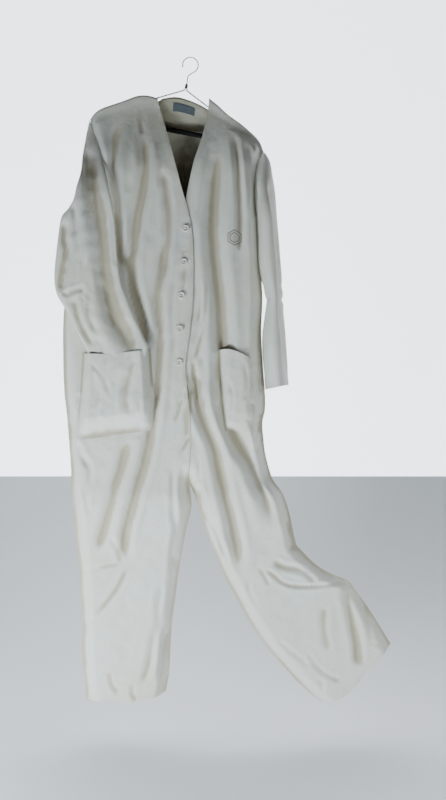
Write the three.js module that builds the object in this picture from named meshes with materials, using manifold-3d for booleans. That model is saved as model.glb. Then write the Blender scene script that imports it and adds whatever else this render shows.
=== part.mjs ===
// A beekeeper's cotton coverall hanging on a trouser-bar hanger.
// Millimetres, +Z up, front towards -Y. The origin is the point under the hook where the rail bears.
// "right" and "left" are the wearer's, so right is -X. Each mesh is one piece of the real thing.
import * as THREE from "three";
import Module from "manifold-3d";
import { mergeVertices } from "three/addons/utils/BufferGeometryUtils.js";

// ---------------------------------------------------------------- driving dimensions
const CLOTH = 1.6; // thickness each cloth piece is given
const GAP = 0.4; // clearance between pieces that touch
const LAYER = CLOTH + GAP; // from the middle of one layer of cloth to the next

const HANGER_SPAN = 444; // end to end of the hanger
const HANGER_TILT = 10.8; // degrees, left end down
const ARM_SLOPE = 27; // degrees, arm below the hanger's own level
const HOOK_RADIUS = 19; // inside of the hook
const HOOK_WIRE = 3.2; // diameter of the hook's wire
const HOOK_TIP = 115; // degrees from the crown to the hook's open end
const HOOK_FOOT = -140; // degrees from the crown to where the stem begins
const STEM_LENGTH = 64.5; // centre of the hook to the top of the arms
const ARM_ROD = 4; // diameter of the arms and the bar's rod
const BAR_SLEEVE = 13; // outside diameter of the grip on the bar
const BAR_SLEEVE_SHORT = 20; // how far the grip stops short of each end
const COLLAR_DIAMETER = 9;
const COLLAR_HEIGHT = 14;

const BODY_LENGTH = 1008; // shoulder level to where the legs begin
const BODY_RIGHT = 335; // centre line to the right side seam, as it hangs
const BODY_LEFT = 195; // centre line to the left side seam, as it hangs
const SHOULDER_LEVEL = -107;
const FRONT_DEPTH = 45; // front cloth ahead of the hanger
const BACK_DEPTH = 35; // back cloth behind the hanger
const SIDE_ROUND = 34; // width over which the front turns into the side seam
const SHOULDER_OVERHANG = 10; // cloth beyond the hanger's end
const SHOULDER_HUMP = 12; // rise of the right shoulder between neck and tip
const YOKE_DEPTH = 155; // back neck to the yoke seam
const FACING_WIDTH = 44;
const UNDERLAP = 30; // how far the left front runs under the right
const SEAT_LEVEL = 0.73; // share of the body's length where the buttoned opening ends

const BUTTON_DIAMETER = 18;
const BUTTON_THICKNESS = 3;
const BUTTON_HOLE = 2.2;
const BUTTON_HOLE_SPACING = 5.2;
const BUTTON_COUNT = 5;
const FIRST_BUTTON = -456; // level of the top button
const BUTTON_PITCH = 87;
const BUTTON_INSET = 17; // centre of a button from the right front's edge

const POCKET_WIDTH = 176;
const POCKET_HEIGHT = 212;
const POCKET_LEVEL = -780; // mouth of the right pocket
const LEFT_POCKET_RISE = 6; // the left mouth hangs this much higher
const LEFT_POCKET_WIDTH = 106; // what is left of it beside the fold
const POCKET_BELLY = 36; // how far the pouch stands off the front
const POCKET_ROUND = 14; // width over which the pouch turns in to its seam
const POCKET_HEM = 16;
const RIGHT_POCKET_INSET = 58; // side seam to the pocket
const LEFT_POCKET_INSET = 40;

const BADGE_RADIUS = 22;
const BADGE_THICKNESS = 0.8;
const BADGE_X = 116;
const BADGE_Z = -480;
const LABEL_THICKNESS = 0.6;

const SLEEVE_DEPTH = 24; // of the flat right sleeve, front to back
const SLEEVE_BESIDE = 2.4; // between an armhole's edge and its sleeve
const SLEEVE_LENGTH = 640; // shoulder tip to cuff, left sleeve
const LEFT_SLEEVE_DEPTH = 140; // front to back, because it hangs edge on
const CUFF_HEM = 25;
const TUCK = 34; // how far the right cuff is pushed into its pocket
const ELBOW_FOLD = 40; // height of the cloth that folds at an elbow

const LEG_LENGTH = 575; // from where the legs begin to the hem
const HIP_FOLD = 40; // height of the cloth that folds at a hip
const KNEE_FOLD = 40;
const KNEE_DROP = 230; // from where the legs begin to the knee fold
const LEG_HALF_DEPTH = 18; // at and below the knee
const LEG_SPREAD = 1.0; // how far the left leg is flung out, 1 as it hangs here
const LEG_MIDDLE = (BACK_DEPTH - FRONT_DEPTH) / 2; // where the legs hang, front to back
const LEG_HEM = 22;

// ---------------------------------------------------------------- materials
const cotton = new THREE.MeshStandardMaterial({ color: 0xd9dcd6, roughness: 0.92, metalness: 0 });
const cottonInside = new THREE.MeshStandardMaterial({ color: 0xc8c7b4, roughness: 0.95, metalness: 0 });
const plastic = new THREE.MeshStandardMaterial({ color: 0xf3f2ea, roughness: 0.35, metalness: 0 });
const labelCloth = new THREE.MeshStandardMaterial({ color: 0x5f6b76, roughness: 0.8, metalness: 0 });
const badgePrint = new THREE.MeshStandardMaterial({ color: 0x4b4b47, roughness: 0.9, metalness: 0 });
const steel = new THREE.MeshStandardMaterial({ color: 0x8d9092, roughness: 0.35, metalness: 1 });
const foam = new THREE.MeshStandardMaterial({ color: 0x101011, roughness: 0.8, metalness: 0 });

const group = new THREE.Group();

function addPiece(name, geometry, material) {
  const mesh = new THREE.Mesh(geometry, material);
  mesh.name = name;
  group.add(mesh);
  return mesh;
}

// ---------------------------------------------------------------- shape helpers
const at = (x, z, y = 0) => new THREE.Vector3(x, y, z);
const mix = (a, b, t) => a + (b - a) * t;
const smooth = (t) => THREE.MathUtils.smoothstep(t, 0, 1);
const steps = (from, to, count) => Array.from({ length: count + 1 }, (_, i) => mix(from, to, i / count));

/** A smooth line through points, read by the share of its length. */
function line(points) {
  const curve = new THREE.CatmullRomCurve3(points);
  return (t) => curve.getPointAt(THREE.MathUtils.clamp(t, 0, 1));
}

/** A closed geometry from a list of corners and faces. */
function closed(corners, faces) {
  const geometry = new THREE.BufferGeometry();
  const positions = corners.flatMap((p) => [p.x, p.y, p.z]);
  geometry.setAttribute("position", new THREE.Float32BufferAttribute(positions, 3));
  geometry.setIndex(faces);
  geometry.computeVertexNormals();
  return geometry;
}

/** Cloth of even thickness on a grid of points: rows down, columns towards +X. */
function clothOn(grid, thickness = CLOTH) {
  const rows = grid.length;
  const cols = grid[0].length;
  const front = [];
  const back = [];
  for (let i = 0; i < rows; i += 1) {
    for (let j = 0; j < cols; j += 1) {
      const down = grid[Math.min(i + 1, rows - 1)][j].clone().sub(grid[Math.max(i - 1, 0)][j]);
      const across = grid[i][Math.min(j + 1, cols - 1)].clone().sub(grid[i][Math.max(j - 1, 0)]);
      const normal = down.cross(across).normalize().multiplyScalar(thickness / 2);
      front.push(grid[i][j].clone().sub(normal));
      back.push(grid[i][j].clone().add(normal));
    }
  }
  const faces = [];
  const total = rows * cols;
  const quad = (a, b, c, d) => faces.push(a, b, c, a, c, d);
  for (let i = 0; i + 1 < rows; i += 1) {
    for (let j = 0; j + 1 < cols; j += 1) {
      const k = i * cols + j;
      quad(k, k + 1, k + cols + 1, k + cols);
      quad(total + k, total + k + cols, total + k + cols + 1, total + k + 1);
    }
  }
  for (let j = 0; j + 1 < cols; j += 1) {
    const low = (rows - 1) * cols + j;
    quad(total + j, total + j + 1, j + 1, j);
    quad(low, low + 1, total + low + 1, total + low);
  }
  for (let i = 0; i + 1 < rows; i += 1) {
    const k = i * cols;
    const last = k + cols - 1;
    quad(k, k + cols, total + k + cols, total + k);
    quad(total + last, total + last + cols, last + cols, last);
  }
  const geometry = closed([...front, ...back], faces);
  return outward(geometry);
}

/** Turns every face round when the solid's signed volume is negative. */
function outward(geometry) {
  const p = geometry.attributes.position;
  const index = geometry.index;
  const [a, b, c] = [at(0, 0), at(0, 0), at(0, 0)];
  let volume = 0;
  for (let i = 0; i < index.count; i += 3) {
    a.fromBufferAttribute(p, index.getX(i));
    b.fromBufferAttribute(p, index.getX(i + 1));
    c.fromBufferAttribute(p, index.getX(i + 2));
    volume += a.dot(b.cross(c));
  }
  if (volume < 0) {
    for (let i = 0; i < index.count; i += 3) {
      const first = index.getX(i);
      index.setX(i, index.getX(i + 2));
      index.setX(i + 2, first);
    }
  }
  geometry.computeVertexNormals();
  return geometry;
}

/** A grid of points of surface(u, v) over lists of u and v. */
function gridOf(surface, us, vs) {
  return vs.map((v) => us.map((u) => surface(u, v)));
}

/** The flat facets that gridOf makes of a surface, read anywhere between its lines. */
function facetsOf(surface, us, vs) {
  const cell = (list, value) => {
    const i = Math.max(0, Math.min(list.length - 2, list.findIndex((x, k) => value <= (list[k + 1] ?? x))));
    return [list[i], list[i + 1], (value - list[i]) / (list[i + 1] - list[i])];
  };
  return (u, v) => {
    const [u0, u1, s] = cell(us, u);
    const [v0, v1, t] = cell(vs, v);
    const high = surface(u0, v0).lerp(surface(u1, v0), s);
    const low = surface(u0, v1).lerp(surface(u1, v1), s);
    return high.lerp(low, t);
  };
}

const TUBE_SIDES = 14;
const TUBE_SQUARE_ACROSS = 0.8; // below 1 squares off a tube's section across
const TUBE_SQUARE_DEEP = 0.6; // and front to back

/** One cut across a sleeve or leg, as the share of the outer and the inner edge above it. */
const cut = (outer, inner = outer) => ({ outer, inner });
const justAbove = ({ outer, inner }, slit) => cut(outer - slit, inner - slit);

/** The row between two cuts: its ends on the outer and inner edge, and its mean share. */
function rowBetween(edges, from, to, s) {
  const outerShare = mix(from.outer, to.outer, s);
  const innerShare = mix(from.inner, to.inner, s);
  return { a: edges.outer(outerShare), b: edges.inner(innerShare), t: (outerShare + innerShare) / 2 };
}

/**
 * A sleeve or leg: a flattened tube open at both ends, between an outer and an inner edge.
 * from and to are the cuts at its two ends.
 * middle(t) and halfDepth(t) give where it lies front to back and how deep it is.
 */
function clothTube({ edges, from, to, rings, middle, halfDepth, sag = 0 }) {
  const corners = [];
  const ring = (s, inset) => {
    const { a, b, t } = rowBetween(edges, from, to, s);
    const centre = a.clone().lerp(b, 0.5);
    const half = b.clone().sub(a).multiplyScalar(0.5);
    half.setLength(half.length() - inset);
    const depth = halfDepth(t) - inset;
    for (let k = 0; k < TUBE_SIDES; k += 1) {
      const angle = (2 * Math.PI * k) / TUBE_SIDES;
      const c = Math.cos(angle);
      const s = Math.sin(angle);
      const point = centre.clone().addScaledVector(half, Math.sign(c) * Math.abs(c) ** TUBE_SQUARE_ACROSS);
      point.y = middle(t) + depth * Math.sign(s) * Math.abs(s) ** TUBE_SQUARE_DEEP;
      point.z -= sag * smooth((t - 0.5) * 2) * (1 - c * c);
      corners.push(point);
    }
  };
  const levels = steps(0, 1, rings);
  levels.forEach((s) => ring(s, 0));
  levels.forEach((s) => ring(s, CLOTH));
  const faces = [];
  const inside = levels.length * TUBE_SIDES;
  const quad = (a, b, c, d) => faces.push(a, b, c, a, c, d);
  for (let k = 0; k < TUBE_SIDES; k += 1) {
    const next = (k + 1) % TUBE_SIDES;
    for (let i = 0; i + 1 < levels.length; i += 1) {
      const row = i * TUBE_SIDES;
      const below = row + TUBE_SIDES;
      quad(row + k, below + k, below + next, row + next);
      quad(inside + row + k, inside + row + next, inside + below + next, inside + below + k);
    }
    const last = (levels.length - 1) * TUBE_SIDES;
    quad(k, next, inside + next, inside + k);
    quad(last + k, inside + last + k, inside + last + next, last + next);
  }
  return outward(closed(corners, faces));
}

/** A round rod along a path of straight runs and rounded corners. */
function rodAlong(points, diameter, count) {
  const path = new THREE.CatmullRomCurve3(points, false, "centripetal");
  const section = new THREE.Shape();
  section.absarc(0, 0, diameter / 2, 0, 2 * Math.PI);
  const settings = { steps: count, curveSegments: 4, bevelEnabled: false, extrudePath: path };
  return new THREE.ExtrudeGeometry(section, settings);
}

// ---------------------------------------------------------------- hanger
const tilt = THREE.MathUtils.degToRad(HANGER_TILT);
const upAxis = at(Math.sin(tilt), Math.cos(tilt));
const alongBar = at(Math.cos(tilt), -Math.sin(tilt));
const hookCentre = at(0, -HOOK_RADIUS);
const armTop = hookCentre.clone().addScaledVector(upAxis, -STEM_LENGTH);
const halfSpan = HANGER_SPAN / 2;
const armRise = halfSpan * Math.tan(THREE.MathUtils.degToRad(ARM_SLOPE));
const barMiddle = armTop.clone().addScaledVector(upAxis, -armRise);

/** A point of the hanger's own frame: along the bar, and up from the bar. */
const onHanger = (along, up) => barMiddle.clone()
  .addScaledVector(alongBar, along).addScaledVector(upAxis, up);

function makeHook() {
  const radius = HOOK_RADIUS + HOOK_WIRE / 2;
  const points = [];
  for (let degrees = HOOK_TIP; degrees >= HOOK_FOOT; degrees -= 15) {
    const turn = THREE.MathUtils.degToRad(degrees) - tilt;
    points.push(at(-Math.sin(turn) * radius, Math.cos(turn) * radius).add(hookCentre));
  }
  const stemTop = hookCentre.clone().addScaledVector(upAxis, -radius - 9);
  const stemFoot = armTop.clone().addScaledVector(upAxis, 3);
  points.push(stemTop, stemTop.clone().lerp(stemFoot, 0.5), stemFoot);
  addPiece("hanger_hook", rodAlong(points, HOOK_WIRE, 44), steel);
}

function makeCollar() {
  const bore = HOOK_WIRE / 2 + GAP;
  const floor = 2.5; // thickness under the stem's foot
  const chamfer = 1.2;
  const radius = COLLAR_DIAMETER / 2;
  const profile = [
    [0, 0], [radius, 0], [radius, COLLAR_HEIGHT - 2 * chamfer],
    [radius - chamfer, COLLAR_HEIGHT], [bore, COLLAR_HEIGHT], [bore, floor], [0, floor],
  ].map(([r, h]) => new THREE.Vector2(r, h));
  const collar = addPiece("hanger_collar", new THREE.LatheGeometry(profile, 16), steel);
  collar.position.copy(armTop);
  collar.quaternion.setFromUnitVectors(new THREE.Vector3(0, 1, 0), upAxis);
}

function makeArms() {
  const cornerRadius = 9;
  const armFoot = ARM_ROD / 2 + GAP;
  const side = (sign) => {
    const top = onHanger(sign * (ARM_ROD / 2 + 0.6), armRise - armFoot);
    const shoulder = onHanger(sign * 14, armRise - 9);
    const end = onHanger(sign * halfSpan, 0);
    const along = shoulder.clone().sub(end).normalize();
    const before = end.clone().addScaledVector(along, cornerRadius);
    const after = onHanger(sign * (halfSpan - cornerRadius), 0);
    const corner = before.clone().lerp(after, 0.5).lerp(end, 0.45);
    const run = [0.25, 0.5, 0.75].map((t) => shoulder.clone().lerp(before, t));
    return [top, shoulder, ...run, before, corner, after];
  };
  const straight = halfSpan - cornerRadius - 3; // the bar's run between its corners
  const bar = steps(-1, 1, 8).map((s) => onHanger(s * straight, 0));
  const points = [...side(-1), ...bar, ...side(1).reverse()];
  addPiece("hanger_arms", rodAlong(points, ARM_ROD, 60), steel);
}

function makeBarSleeve() {
  const half = halfSpan - BAR_SLEEVE_SHORT;
  const bore = ARM_ROD / 2 + GAP;
  const skin = BAR_SLEEVE / 2;
  const profile = [[bore, -half], [skin, -half], [skin, half], [bore, half], [bore, -half]]
    .map(([r, h]) => new THREE.Vector2(r, h));
  const sleeve = addPiece("hanger_bar_grip", new THREE.LatheGeometry(profile, 16), foam);
  sleeve.position.copy(barMiddle);
  sleeve.quaternion.setFromUnitVectors(new THREE.Vector3(0, 1, 0), alongBar);
}

makeHook();
makeCollar();
makeArms();
makeBarSleeve();

// ---------------------------------------------------------------- body of the suit
const seatDepth = BAR_SLEEVE / 2 + GAP + CLOTH / 2; // cloth just clear of the bar
const bodyZ = (share) => SHOULDER_LEVEL - share * BODY_LENGTH;
const bodyFoot = bodyZ(1);

const pastEnd = SHOULDER_OVERHANG * Math.tan(THREE.MathUtils.degToRad(ARM_SLOPE));
const wrapSeat = ARM_ROD / 2 + CLOTH / 2 - seatDepth - pastEnd; // the turned cloth rests on the arm
const rightTip = onHanger(-halfSpan - SHOULDER_OVERHANG, wrapSeat);
const leftTip = onHanger(halfSpan + SHOULDER_OVERHANG, wrapSeat);
const rightNeck = at(-86, SHOULDER_LEVEL);
const leftNeck = at(49, SHOULDER_LEVEL - 6);

/** The line down the middle of the front, where the right edge lies. */
const closure = (share) => at(mix(4, -6, smooth(share)) + 8 * Math.sin(share * 7), bodyZ(share));

const rightSide = line([
  rightTip,
  at(-BODY_RIGHT * 0.655, bodyZ(0.2)), at(-BODY_RIGHT * 0.6, bodyZ(0.3)),
  at(-BODY_RIGHT * 0.8, bodyZ(0.42)), at(-BODY_RIGHT * 0.985, bodyZ(0.53)),
  at(-BODY_RIGHT, bodyZ(0.64)), at(-BODY_RIGHT * 0.99, bodyZ(0.76)),
  at(-BODY_RIGHT * 0.96, bodyZ(0.87)), at(-BODY_RIGHT * 0.94, bodyFoot),
]);
const leftSide = line([
  leftTip,
  at(BODY_LEFT * 0.88, bodyZ(0.2)), at(BODY_LEFT * 0.94, bodyZ(0.32)),
  at(BODY_LEFT * 0.96, bodyZ(0.49)), at(BODY_LEFT, bodyZ(0.74)),
  at(BODY_LEFT * 0.99, bodyZ(0.86)), at(BODY_LEFT * 1.04, bodyZ(0.94)), at(BODY_LEFT * 1.12, bodyFoot),
]);
const rightEdge = line([
  rightNeck, at(-60, bodyZ(0.095)), at(-36, bodyZ(0.186)), at(-14, bodyZ(0.27)),
  ...[0.34, 0.45, 0.56, 0.67, 0.78, 0.89, 1].map(closure),
]);

/** How far the left front runs under the right, by level. */
const underlap = (share) => UNDERLAP * (1 - smooth((share - SEAT_LEVEL) * 20)) - GAP;
const leftEdge = line([
  leftNeck, at(34, bodyZ(0.09)), at(8, bodyZ(0.17)), at(-14, bodyZ(0.25)),
  ...[0.34, 0.45, 0.56, 0.67, SEAT_LEVEL, 0.78, 0.89, 1].map((s) => closure(s).add(at(-underlap(s), 0))),
]);

/** Depth of the front or back cloth at a level: shallow over the hanger, full below. */
const depthAt = (z, full) => mix(seatDepth, full, smooth((SHOULDER_LEVEL - 10 - z) / (0.2 * BODY_LENGTH)));

/** Depth at the side: it starts over the hanger's end and closes at the side seam. */
const sideDepth = (z) => mix(seatDepth, LAYER / 2 + 0.1, smooth((bodyZ(0.16) - z) / (0.2 * BODY_LENGTH)));

/**
 * One front: u from the side seam to the front edge, v from the shoulder to the legs.
 * The first rows wrap over the shoulder, so v may be below 0.
 */
function frontSurface(side, edge, layer, hump) {
  return (u, v) => {
    const t = Math.max(v, 0);
    const a = side(t);
    const b = edge(t);
    const point = a.clone().lerp(b, u);
    point.z += hump * 4 * u * (1 - u) * (1 - smooth(t * 8));
    if (v < 0) {
      const turn = Math.PI * (1 + v);
      point.y = -Math.cos(Math.PI - turn) * seatDepth;
      point.z += Math.sin(turn) * seatDepth;
      return point;
    }
    const fromSide = Math.abs(point.x - a.x);
    const full = depthAt(point.z, FRONT_DEPTH) - layer;
    const rim = Math.min(sideDepth(point.z), full);
    point.y = -mix(rim, full, smooth(fromSide / SIDE_ROUND));
    return point;
  };
}

/** Shares across a front that place columns close together at the side seam. */
const frontColumns = [0, 0.04, 0.09, 0.16, 0.3, 0.5, 0.7, 0.85, 1];
const wrapRows = [-1, -0.75, -0.5, -0.25];
const bodyRows = [0, 0.035, 0.08, 0.13, 0.18, 0.23, 0.29, 0.35, 0.42, 0.5, 0.6, 0.7, 0.8, 0.9, 1];

const rightFront = frontSurface(rightSide, rightEdge, 0, SHOULDER_HUMP);
const leftFront = frontSurface(leftSide, leftEdge, 2 * LAYER, 0);
addPiece("right_front_panel", clothOn(gridOf(rightFront, frontColumns, [...wrapRows, ...bodyRows])), cotton);
addPiece("left_front_panel", clothOn(gridOf(leftFront, frontColumns, [...wrapRows, ...bodyRows])), cotton);

/** The facing sewn inside a front edge, from just under the shoulder to the end of the opening. */
function makeFacing(name, surface, side, edge) {
  const rows = bodyRows.filter((v) => v > 0.03 && v < SEAT_LEVEL);
  const grid = rows.map((v) => {
    const width = Math.abs(edge(v).x - side(v).x);
    return steps(1 - FACING_WIDTH / width, 1 - 1 / width, 2).map((u) => {
      const point = surface(u, v);
      point.y += LAYER;
      return point;
    });
  });
  addPiece(name, clothOn(grid), cottonInside);
}

makeFacing("right_front_facing", rightFront, rightSide, rightEdge);
makeFacing("left_front_facing", leftFront, leftSide, leftEdge);

// ---- back: a yoke from the shoulders to the yoke seam, and the panel gathered under it
const tipDrop = SHOULDER_LEVEL - (rightTip.z + leftTip.z) / 2;
const yokeFoot = (YOKE_DEPTH - tipDrop) / BODY_LENGTH;
const neckDip = 8; // back neck below the right neck point

/** The top of the yoke: along one shoulder, round the back neck, along the other. */
const yokeTop = line([
  rightTip.clone().add(at(0, -seatDepth - GAP)), rightTip.clone().lerp(rightNeck, 0.5),
  rightNeck.clone().add(at(4, -seatDepth - GAP)), at(-36, SHOULDER_LEVEL + 1),
  at(10, SHOULDER_LEVEL - neckDip), leftNeck.clone().add(at(-2, -seatDepth - 4 - GAP)),
  leftNeck.clone().lerp(leftTip, 0.5).add(at(0, -seatDepth - GAP)),
  leftTip.clone().add(at(0, -seatDepth - GAP)),
].map((p, i) => (i === 1 ? p.add(at(0, SHOULDER_HUMP - seatDepth - GAP)) : p)));

/** How far a side's curve stands off the straight line from its tip to the yoke seam. */
const bow = (side, v) => side(v * yokeFoot).sub(side(0).lerp(side(yokeFoot), v));

/** The depth of the back cloth at a point, full once it is clear of both sides. */
function backDepthAt(point, share) {
  const full = depthAt(point.z, BACK_DEPTH);
  const fromSide = Math.min(point.x - rightSide(share).x, leftSide(share).x - point.x);
  return mix(Math.min(sideDepth(point.z), full), full, smooth(fromSide / SIDE_ROUND));
}

/** The yoke: u from the right side to the left, v from its top line to the yoke seam. */
function yoke(u, v) {
  const low = rightSide(yokeFoot).lerp(leftSide(yokeFoot), u);
  const point = yokeTop(u).lerp(low, v);
  point.addScaledVector(bow(rightSide, v), 1 - u).addScaledVector(bow(leftSide, v), u);
  point.y = backDepthAt(point, v * yokeFoot);
  return point;
}

const backColumns = [0, 0.03, 0.07, 0.14, 0.3, 0.36, 0.45, 0.56, 0.68, 0.8, 0.9, 0.95, 1];
const yokeRows = [0, 0.3, 0.6, 1];
addPiece("back_yoke", clothOn(gridOf(yoke, backColumns, yokeRows)), cotton);

/** The panel gathered under the yoke: v from the yoke seam to the legs. */
function backPanel(u, v) {
  const share = mix(yokeFoot, 1, v);
  const point = rightSide(share).lerp(leftSide(share), u);
  point.z -= (1 - v) * 2 * GAP;
  point.y = backDepthAt(point, share);
  return point;
}
const backRows = [0, 0.05, 0.1, 0.16, 0.24, 0.32, 0.42, 0.54, 0.66, 0.78, 0.89, 1];
addPiece("back_panel", clothOn(gridOf(backPanel, backColumns, backRows)), cotton);

// ---- back neck facing, and the blank label sewn to it
const neckColumns = backColumns.filter((u) => u > 0.33 && u < 0.6);
const facingLayer = LAYER + 0.1;
const yokeFacets = facetsOf(yoke, backColumns, yokeRows);
const inward = (surface, distance) => (u, v) => surface(u, v).add(at(0, 0, -distance));
const neckFacing = inward(yokeFacets, facingLayer);
addPiece("back_neck_facing", clothOn(gridOf(neckFacing, neckColumns, [0.02, 0.3])), cottonInside);
const labelLayer = facingLayer + (CLOTH + LABEL_THICKNESS) / 2 + GAP;
const labelSurface = inward(yokeFacets, labelLayer);
const labelGrid = gridOf(labelSurface, [0.455, 0.505, 0.55], [0.08, 0.19]);
addPiece("neck_label", clothOn(labelGrid, LABEL_THICKNESS), labelCloth);

// ---------------------------------------------------------------- buttons, badge
const wasm = await Module();
wasm.setup();

/** A three.js geometry as a solid that can be cut. */
function solidOf(geometry) {
  const bare = geometry.clone();
  bare.deleteAttribute("normal");
  bare.deleteAttribute("uv");
  const merged = mergeVertices(bare, 1e-4);
  return new wasm.Manifold(new wasm.Mesh({
    numProp: 3,
    vertProperties: new Float32Array(merged.attributes.position.array),
    triVerts: new Uint32Array(merged.index.array),
  }));
}

/** A cut solid as a three.js geometry again. */
function geometryOf(solid) {
  const mesh = solid.getMesh();
  const geometry = new THREE.BufferGeometry();
  geometry.setAttribute("position", new THREE.BufferAttribute(new Float32Array(mesh.vertProperties), 3));
  geometry.setIndex(new THREE.BufferAttribute(new Uint32Array(mesh.triVerts), 1));
  geometry.computeVertexNormals();
  return geometry;
}

function buttonGeometry() {
  const radius = BUTTON_DIAMETER / 2;
  const rim = 2.2;
  const round = 0.9; // edge rounding, and the depth of the dish inside the rim
  const dish = BUTTON_THICKNESS - round;
  const profile = [
    [0, 0], [radius - 1, 0], [radius, round], [radius, dish], [radius - round, BUTTON_THICKNESS],
    [radius - rim, BUTTON_THICKNESS], [radius - rim - 1, dish], [0, dish],
  ].map(([r, h]) => new THREE.Vector2(r, h));
  let solid = solidOf(new THREE.LatheGeometry(profile, 16));
  for (const [sx, sy] of [[-1, -1], [-1, 1], [1, -1], [1, 1]]) {
    const drill = new THREE.CylinderGeometry(BUTTON_HOLE / 2, BUTTON_HOLE / 2, 4 * BUTTON_THICKNESS, 6);
    drill.translate((sx * BUTTON_HOLE_SPACING) / 2, 0, (sy * BUTTON_HOLE_SPACING) / 2);
    solid = solid.subtract(solidOf(drill));
  }
  return geometryOf(solid);
}

const buttonShape = buttonGeometry();
for (let i = 0; i < BUTTON_COUNT; i += 1) {
  const z = FIRST_BUTTON - i * BUTTON_PITCH;
  const share = (SHOULDER_LEVEL - z) / BODY_LENGTH;
  const button = addPiece(`button_${i + 1}`, buttonShape.clone(), plastic);
  button.rotation.x = Math.PI;
  button.position.copy(at(closure(share).x - BUTTON_INSET, z, -FRONT_DEPTH - CLOTH / 2 - GAP));
}

/** A blank hexagonal cell badge on the left chest. */
const badgeShape = new THREE.Shape(steps(0, 5, 5).map((k) => {
  const angle = (k * Math.PI) / 3 + Math.PI / 6;
  return new THREE.Vector2(Math.cos(angle) * BADGE_RADIUS, Math.sin(angle) * BADGE_RADIUS);
}));
const badgeGeometry = new THREE.ExtrudeGeometry(badgeShape, { depth: BADGE_THICKNESS, bevelEnabled: false });
const badge = addPiece("chest_badge", badgeGeometry, badgePrint);
badge.rotation.x = Math.PI / 2;
badge.position.copy(at(BADGE_X, BADGE_Z, -FRONT_DEPTH + 2 * LAYER - CLOTH / 2 - GAP));

// ---------------------------------------------------------------- pockets
/** A patch pocket: sewn down at the sides and bottom, standing off as a pouch towards its mouth. */
function pocketSurface(middle, top, width, layer, slant) {
  return (u, v) => {
    const x = middle + (u - 0.5) * width - slant * v;
    const z = top - v * POCKET_HEIGHT - slant * 0.5 * (1 - u) * v;
    const fromSeam = Math.min(u, 1 - u) * width;
    const open = smooth(fromSeam / POCKET_ROUND) * smooth((1 - v) * 5);
    return at(x, z, -(FRONT_DEPTH - layer + LAYER) - (POCKET_BELLY - LAYER) * open);
  };
}

function makePocket(name, middle, top, width, layer, slant) {
  const surface = pocketSurface(middle, top, width, layer, slant);
  const rim = POCKET_ROUND / width;
  const columns = [0, rim / 3, rim * 0.66, rim, 0.35, 0.65, 1 - rim, 1 - rim * 0.66, 1 - rim / 3, 1];
  const rows = [0, 0.3, 0.6, 0.8, 0.87, 0.94, 1];
  addPiece(name, clothOn(gridOf(surface, columns, rows)), cotton);
  const hem = (u, v) => surface(u, v).add(at(0, 0, LAYER));
  const hemColumns = [rim * 1.3, 0.35, 0.65, 1 - rim * 1.3];
  const hemRows = [0.005, POCKET_HEM / POCKET_HEIGHT];
  addPiece(`${name}_hem`, clothOn(gridOf(hem, hemColumns, hemRows)), cottonInside);
}

const rightPocketMiddle = -BODY_RIGHT + RIGHT_POCKET_INSET + POCKET_WIDTH / 2;
const leftPocketMiddle = BODY_LEFT - LEFT_POCKET_INSET - LEFT_POCKET_WIDTH / 2;
makePocket("right_pocket", rightPocketMiddle, POCKET_LEVEL, POCKET_WIDTH, 0, 8);
const leftPocketTop = POCKET_LEVEL + LEFT_POCKET_RISE;
makePocket("left_pocket", leftPocketMiddle, leftPocketTop, LEFT_POCKET_WIDTH, 2 * LAYER, -4);

// ---------------------------------------------------------------- right sleeve, cuff in the pocket
const sleeveClear = FRONT_DEPTH + CLOTH / 2 + GAP + SLEEVE_DEPTH / 2; // its middle ahead of the front
const cuffFoot = POCKET_LEVEL - TUCK;
const mouthHalf = POCKET_WIDTH / 2 - POCKET_ROUND - 6; // cuff's half width inside the mouth
const elbowZ = mix(rightTip.z, POCKET_LEVEL, 0.74);
const elbowOut = -BODY_RIGHT * 1.035;

const rightSleeveOuter = line([
  rightTip.clone().add(at(-3, -4)), at(rightTip.x - 22, bodyZ(0.155)), at(rightTip.x - 40, bodyZ(0.26)),
  at(-BODY_RIGHT * 1.01, mix(bodyZ(0.36), elbowZ, 0.05)), at(elbowOut, mix(bodyZ(0.36), elbowZ, 0.68)),
  at(elbowOut + 8, elbowZ), at(elbowOut + 36, mix(elbowZ, POCKET_LEVEL, 0.33)),
  at(rightPocketMiddle - mouthHalf - 2, POCKET_LEVEL + 10), at(rightPocketMiddle - mouthHalf + 6, cuffFoot),
]);
const rightArmhole = (share) => rightSide(share).add(at(-SLEEVE_BESIDE, 0));
const rightSleeveInner = line([
  ...[0.02, 0.06, 0.1, 0.14, 0.19, 0.24, 0.28].map(rightArmhole), at(-BODY_RIGHT * 0.56, bodyZ(0.42)),
  at(-BODY_RIGHT * 0.525, mix(elbowZ, bodyZ(0.49), 0.3)),
  at(-BODY_RIGHT * 0.46, mix(elbowZ, POCKET_LEVEL, 0.3)),
  at(rightPocketMiddle + mouthHalf - 8, POCKET_LEVEL + 20), at(rightPocketMiddle + mouthHalf, cuffFoot + 12),
]);

/** The right sleeve comes forward from the shoulder until it lies on the front. */
const rightSleeveMiddle = (t) => -mix(0, sleeveClear, smooth(t / 0.34));
const rightSleeveHalf = (t) => mix(seatDepth + 4, SLEEVE_DEPTH / 2, smooth(t / 0.2));

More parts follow.
